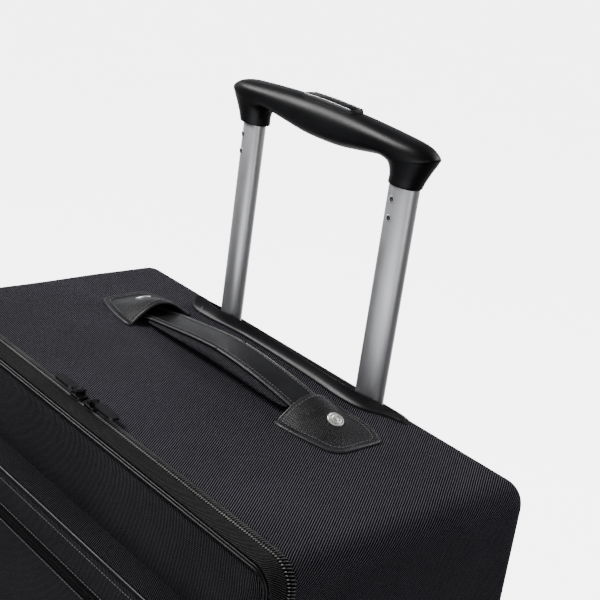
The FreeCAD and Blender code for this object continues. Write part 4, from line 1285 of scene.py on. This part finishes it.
def bezel_section(x):
    """Section (y, z) of the bezel at a place along its length, from front skirt to back skirt."""
    lip_y, ridge_y, ridge, back, end = bezel_plan(x)
    low, high = trough_walls(x)
    lip = min(663.4 * MM, ridge - 0.5 * MM)
    rim_y = 128.5 * MM
    rim = 660.5 * MM - 6 * MM * end ** 2

    def top(y):
        return ridge + (rim - ridge) * min(1.0, max(0.0, (y - ridge_y) / (rim_y - ridge_y)))

    section = [(lip_y, 657 * MM), (lip_y, lip - 1.1 * MM), (lip_y + 0.25 * MM, lip - 0.4 * MM),
               (lip_y + 0.8 * MM, lip)]
    start = lip_y + 0.8 * MM
    for along, up in BEZEL_SLOPE:
        section.append((start + (ridge_y - start) * along, lip + (ridge - lip) * up))
    if TROUGH_ENDS[0] < x < TROUGH_ENDS[1]:
        section += [(low, top(low)), (low + 0.3 * MM, top(low) - 1.8 * MM),
                    (low + 0.3 * MM, 652 * MM), (high - 0.3 * MM, 652 * MM),
                    (high - 0.3 * MM, top(high) - 1.2 * MM), (high + 0.4 * MM, top(high))]
    else:
        for share in (0.12, 0.3, 0.45, 0.6, 0.8, 1.0):
            y = ridge_y + (rim_y - ridge_y) * share
            section.append((min(y, back - 1.5 * MM), top(y)))
    section += [(min(131.5 * MM, back - 1 * MM), rim - 1.2 * MM),
                (back, rim - 4.3 * MM), (back + 0.3 * MM, 650 * MM)]
    return section


def build_bezel():
    """The moulded bezel: a thin lip, a swept ridge and an open trough behind it."""
    marks = {point[0] for point in BEZEL_RUN}
    for end, inward in zip(TROUGH_ENDS, (1, -1)):
        for gap in (-0.001, 0.001, 0.2, 0.6, 1.3, 2.4, 4.0, 6.0, 8.0):
            marks.add(end + inward * gap * MM)
    made = section_skin("bezel_moulding", lambda x, y, z: (x, y, z), "bezel_plastic",
                        sorted(marks), bezel_section, wrap=False)
    sharpen(made, 50)
    place_piece(made, "case", "grip_plastic", "bezel")


def sharpen(made, angle):
    """Keeps edges sharper than an angle crisp under smooth shading."""
    work = bmesh.new()
    work.from_mesh(made.data)
    for edge in work.edges:
        if len(edge.link_faces) == 2 and edge.calc_face_angle(0.0) > math.radians(angle):
            edge.smooth = False
    work.to_mesh(made.data)
    work.free()


GRIP_FOOT = 832 * MM
GRIP_STATIONS = (
    ((-12.6, -0.2), (12.8, -0.2), 9.1), ((-13.4, 0.6), (13.7, 0.6), 9.8),
    ((-13.2, 6.0), (16.2, 6.5), 10.2), ((-14.4, 10.5), (20.4, 14.5), 11.2),
    ((-16.0, 12.9), (24.6, 22.0), 12.2), ((-17.6, 14.0), (25.4, 26.2), 12.9),
    ((-20.0, 14.8), (14.0, 31.8), 13.6), ((-26.0, 15.2), (-8.0, 34.2), 14.0),
    ((-46.0, 12.3), (-42.0, 36.4), 14.5), ((-66.0, 9.8), (-65.0, 37.3), 14.6),
    ((-86.0, 9.1), (-86.0, 37.6), 14.7),
)


def grip_rings():
    """Sections of the grip from the left leg over the bar to the right leg."""
    foot = Vector((TUBE_SPREAD, 0, GRIP_FOOT))
    edges = [[foot + Vector((row[column][0] * MM, 0, row[column][1] * MM))
              for row in GRIP_STATIONS] for column in (0, 1)]
    inner, outer = [edge + [Vector((-p.x, 0, p.z)) for p in edge[-2::-1]] for edge in edges]
    depths = [row[2] * MM for row in GRIP_STATIONS]
    depths += depths[-2::-1]
    rings = []
    for low, high, depth in zip(spline(inner, 6), spline(outer, 6), spline(depths, 6)):
        centre, reach = (low + high) / 2, (high - low) / 2
        ring = []
        for angle in angles(40):
            point = centre + reach * rounded(math.cos(angle), 0.86)
            point.y = TUBE_LINE + depth * rounded(math.sin(angle), 0.86)
            ring.append(point)
        rings.append(ring)
    return rings


def tube_axes(side):
    """Directions along and across the flat face of a tube, which is turned a little."""
    along = Vector((math.cos(TUBE_TILT), side * math.sin(TUBE_TILT), 0))
    return along, Vector((-along.y, along.x, 0))


def build_tubes():
    """Smooth oval skins of the three telescoping stages."""
    wall = 1.2 * MM
    for stage, (long_half, short_half) in TUBE_SIZES.items():
        for label, side in SIDES:
            node_name = f"{stage}_tube_{label}"
            low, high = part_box(node_name)
            along, across = tube_axes(side)
            rings = []
            for inset, z in ((wall, low.z), (0.2 * MM, low.z), (0.0, low.z + 0.3 * MM),
                             (0.0, high.z - 0.3 * MM), (0.2 * MM, high.z), (wall, high.z),
                             (wall, high.z - 30 * MM)):
                centre = Vector((side * TUBE_SPREAD, TUBE_LINE, z))
                rings.append([centre
                              + along * rounded(math.cos(angle), 0.88) * (long_half - inset)
                              + across * rounded(math.sin(angle), 0.88) * (short_half - inset)
                              for angle in angles(56)])
            made = loft(f"{stage}_tube_skin_{label}", rings, "aluminium", caps=False)
            sharpen(made, 40)
            place_piece(made, frame["nodes"][node_name]["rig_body"], "tube_aluminium", node_name)


# Rings of the button's frame and of the button in mm: half length, half width, height over the
# frame's top, and how much lower the ends are.
BUTTON_FRAME_ROWS = ((29.6, 7.0, -9.2, 0.0), (29.6, 7.0, -0.7, 0.8), (29.0, 6.5, -0.1, 0.8),
                     (27.2, 5.5, -0.1, 0.8), (26.8, 5.2, -0.8, 0.8), (26.6, 5.1, -8.8, 0.0))
BUTTON_ROWS = ((26.2, 4.8, -4.0, 0.0), (26.2, 4.8, -0.5, 0.6), (25.4, 4.2, 0.2, 0.6),
               (12.0, 1.5, 0.5, 0.6))


def button_rings(rows, top):
    """Long rounded rectangles at the top of the grip, curved down at the ends."""
    rings = []
    for half_length, half_width, rise, drop in rows:
        ring = []
        for angle in angles(48, 0.5):
            share = rounded(math.cos(angle), 0.25)
            ring.append(Vector((half_length * MM * share,
                                TUBE_LINE + half_width * MM * rounded(math.sin(angle), 0.45),
                                top + (rise - drop * share ** 2) * MM)))
        rings.append(ring)
    return rings


def build_grip():
    """The moulded grip and its release button in a raised frame with two bright lines."""
    grip = loft("grip_moulding", grip_rings(), "grip_plastic")
    place_piece(grip, "grip_stage", "grip_plastic", "grip_shell")
    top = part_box("button_frame")[1].z
    rim = loft("button_frame_moulding", button_rings(BUTTON_FRAME_ROWS, top), "bezel_plastic")
    place_piece(rim, "grip_stage", "grip_plastic", "button_frame")
    button = loft("button_moulding", button_rings(BUTTON_ROWS, top), "grip_plastic")
    place_piece(button, "release", "button_plastic", "release_button")
    for number, width in enumerate((6.05 * MM, -6.05 * MM)):
        path = [Vector((x * MM, TUBE_LINE + width, top + 0.02 * MM - 0.8 * MM * (x / 29.0) ** 2))
                for x in range(-27, 28, 2)]
        line = bead(f"button_inlay_{number}", path, 0.35 * MM, "inlay")
        place_piece(line, "grip_stage", "button_plastic")


SCREW_RING = ((2.5, -0.3), (2.5, 0.1), (2.15, 0.3), (1.85, 0.1))
SCREW_HEAD = ((1.9, -0.2), (1.9, 0.12), (1.5, 0.28), (0.7, 0.3), (0.6, 0.05), (0.05, 0.0))


def build_screws():
    """The leg screws, two on the front of each upper tube, in bright rings."""
    for label, side in SIDES:
        along, across = tube_axes(side)
        for number, drop in enumerate((10.5 * MM, 24.5 * MM)):
            seat = Vector((side * TUBE_SPREAD, TUBE_LINE, GRIP_FOOT - drop))
            seat -= across * (TUBE_FACE - 0.1 * MM) + along * 4.6 * MM
            ring = turned(f"screw_ring_{label}_{number}", seat, -across, along, SCREW_RING, 24,
                          "aluminium", caps=False)
            place_piece(ring, "grip_stage", "dark_screw")
            head = turned(f"screw_head_{label}_{number}", seat, -across, along, SCREW_HEAD, 24,
                          "screw_steel")
            place_piece(head, "grip_stage", "dark_screw", "grip_screws")


# ---------------------------------------------------------------- hard parts

# Finish and edge rounding in mm of the moulded, metal and rubber parts.
SOFT_PARTS = (
    ("base_plastic", 1.5, ("base_tray",)),
    ("base_plastic", 1.0, ("side_feet",)),
    ("base_plastic", 1.2, ("kick_rails", "wheel_housing_left", "wheel_housing_right")),
    ("hub_plastic", 0.6, ("wheel_hub_left", "wheel_hub_right")),
    ("rubber", 1.2, ("wheel_tyre_left", "wheel_tyre_right")),
    ("base_plastic", 0.8, ("tube_footing",)),
    ("board", 0.8, ("back_board",)),
    ("gunmetal", 0.3, ("main_slider_a", "main_slider_b", "main_pull_a", "main_pull_b",
                       "upper_pocket_slider", "upper_pocket_pull", "lower_pocket_slider",
                       "lower_pocket_pull")),
)
PLAIN_PARTS = (
    ("steel", ("wheel_axles", "lock_pin_left", "lock_pin_right", "push_rods", "button_spring")),
    ("base_plastic", ("lock_blocks", "release_yoke")),
)


def build_hard_parts():
    """Rounded, textured finishes of the moulded, metal and rubber parts."""
    for material, width, names in SOFT_PARTS:
        for node_name in names:
            softened(node_name, material, width * MM)
    for material, names in PLAIN_PARTS:
        for node_name in names:
            finish_node(node_name, material)


# ---------------------------------------------------------------- studio

def area_light(name, place, aim, size, power):
    """A soft rectangular light that faces a point."""
    data = bpy.data.lights.new(name, "AREA")
    data.shape = "RECTANGLE"
    data.size, data.size_y = size
    data.energy = power
    made = bpy.data.objects.new(name, data)
    bpy.context.scene.collection.objects.link(made)
    made.location = place
    made.rotation_euler = (Vector(aim) - Vector(place)).to_track_quat("-Z", "Y").to_euler()


# Even glow of the studio's walls, and soft patches on them: direction, brightness, and cosines
# where each begins and is full.
WALL_GLOW = 0.14
WALL_PATCHES = (
    ((0.10, -0.95, -0.30), 1.8, 0.76, 0.97),
    ((-0.80, 0.50, -0.33), 1.1, 0.72, 0.97),
    ((-0.12, 0.98, -0.18), 0.8, 0.82, 0.97),
)


def build_world():
    """A dim room with a few soft bright patches low on its walls."""
    world = bpy.data.worlds.new("studio")
    bpy.context.scene.world = world
    world.use_nodes = True
    tree = world.node_tree
    direction = add_node(tree, "ShaderNodeTexCoord").outputs["Generated"]
    total = WALL_GLOW
    for aim, strength, begins, full in WALL_PATCHES:
        facing = add_node(tree, "ShaderNodeVectorMath",
                          {0: direction, 1: Vector(aim).normalized()}, operation="DOT_PRODUCT")
        patch = add_node(tree, "ShaderNodeMapRange",
                         {0: facing.outputs["Value"], 1: begins, 2: full, 4: strength},
                         interpolation_type="SMOOTHSTEP")
        total = add_node(tree, "ShaderNodeMath", {0: patch.outputs[0], 1: total}).outputs[0]
    background = tree.nodes["Background"]
    tree.links.new(total, background.inputs["Strength"])
    background.inputs["Color"].default_value = (0.96, 0.97, 1.0, 1)


CAMERA_PLACE = (0.69386, -0.52966, 1.06676)
CAMERA_AHEAD = (-0.6876, 0.6358, -0.3505)
CAMERA_RIGHT = (0.635, 0.7607, 0.134)
CAMERA_LENS = 77.82


def build_camera():
    """The camera, at the viewing angle of the main picture."""
    data = bpy.data.cameras.new("view")
    camera = bpy.data.objects.new("view", data)
    bpy.context.scene.collection.objects.link(camera)
    bpy.context.scene.camera = camera
    data.lens = CAMERA_LENS
    data.dof.use_dof = False
    ahead = Vector(CAMERA_AHEAD).normalized()
    right = Vector(CAMERA_RIGHT)
    right = (right - ahead * right.dot(ahead)).normalized()
    turn = Matrix((right, right.cross(ahead), -ahead)).transposed().to_4x4()
    camera.matrix_world = Matrix.Translation(CAMERA_PLACE) @ turn


FLOOR_REACH, FLOOR_GLOW = 24.0, 5.8
# Name, place, point that it faces, size and power of each light.
LIGHTS = (("key", (-1.55, -0.75, 2.15), (0, 0.1, 0.7), (0.8, 1.0), 52),
          ("back", (0.5, 1.7, 1.9), (0, 0, 0.7), (1.4, 0.5), 16),
          ("fill", (1.9, -1.3, 1.3), (0, 0, 0.6), (0.8, 1.2), 7))


def build_studio():
    """Pale floor and soft light."""
    shader = Shader("studio_floor", (0.9, 0.9, 0.9), 0.85, Emission_Strength=FLOOR_GLOW)
    haze = shader.noise(shader.place(), 3.0)
    pale = shader.mix(haze, (0.88, 0.88, 0.885), (0.91, 0.91, 0.91))
    shader.drive("Base Color", pale)
    shader.drive("Emission Color", pale)
    MATERIALS["studio_floor"] = shader.material
    corners = [(x * FLOOR_REACH, y * FLOOR_REACH, 0)
               for x, y in ((-1, -1), (1, -1), (1, 1), (-1, 1))]
    floor = finish_mesh("floor", corners, [(0, 1, 2, 3)], "studio_floor")
    floor.visible_glossy = False
    floor.visible_diffuse = False

    build_world()
    for light in LIGHTS:
        area_light(*light)


build_shell()
build_back()
build_lining()
build_wheel_covers()
build_main_zip()
build_lid()
build_lid_hinge()
for pocket in ("upper", "lower"):
    build_pocket(pocket)
build_handles()
build_bezel()
build_tubes()
build_grip()
build_screws()
build_hard_parts()
build_studio()
build_camera()
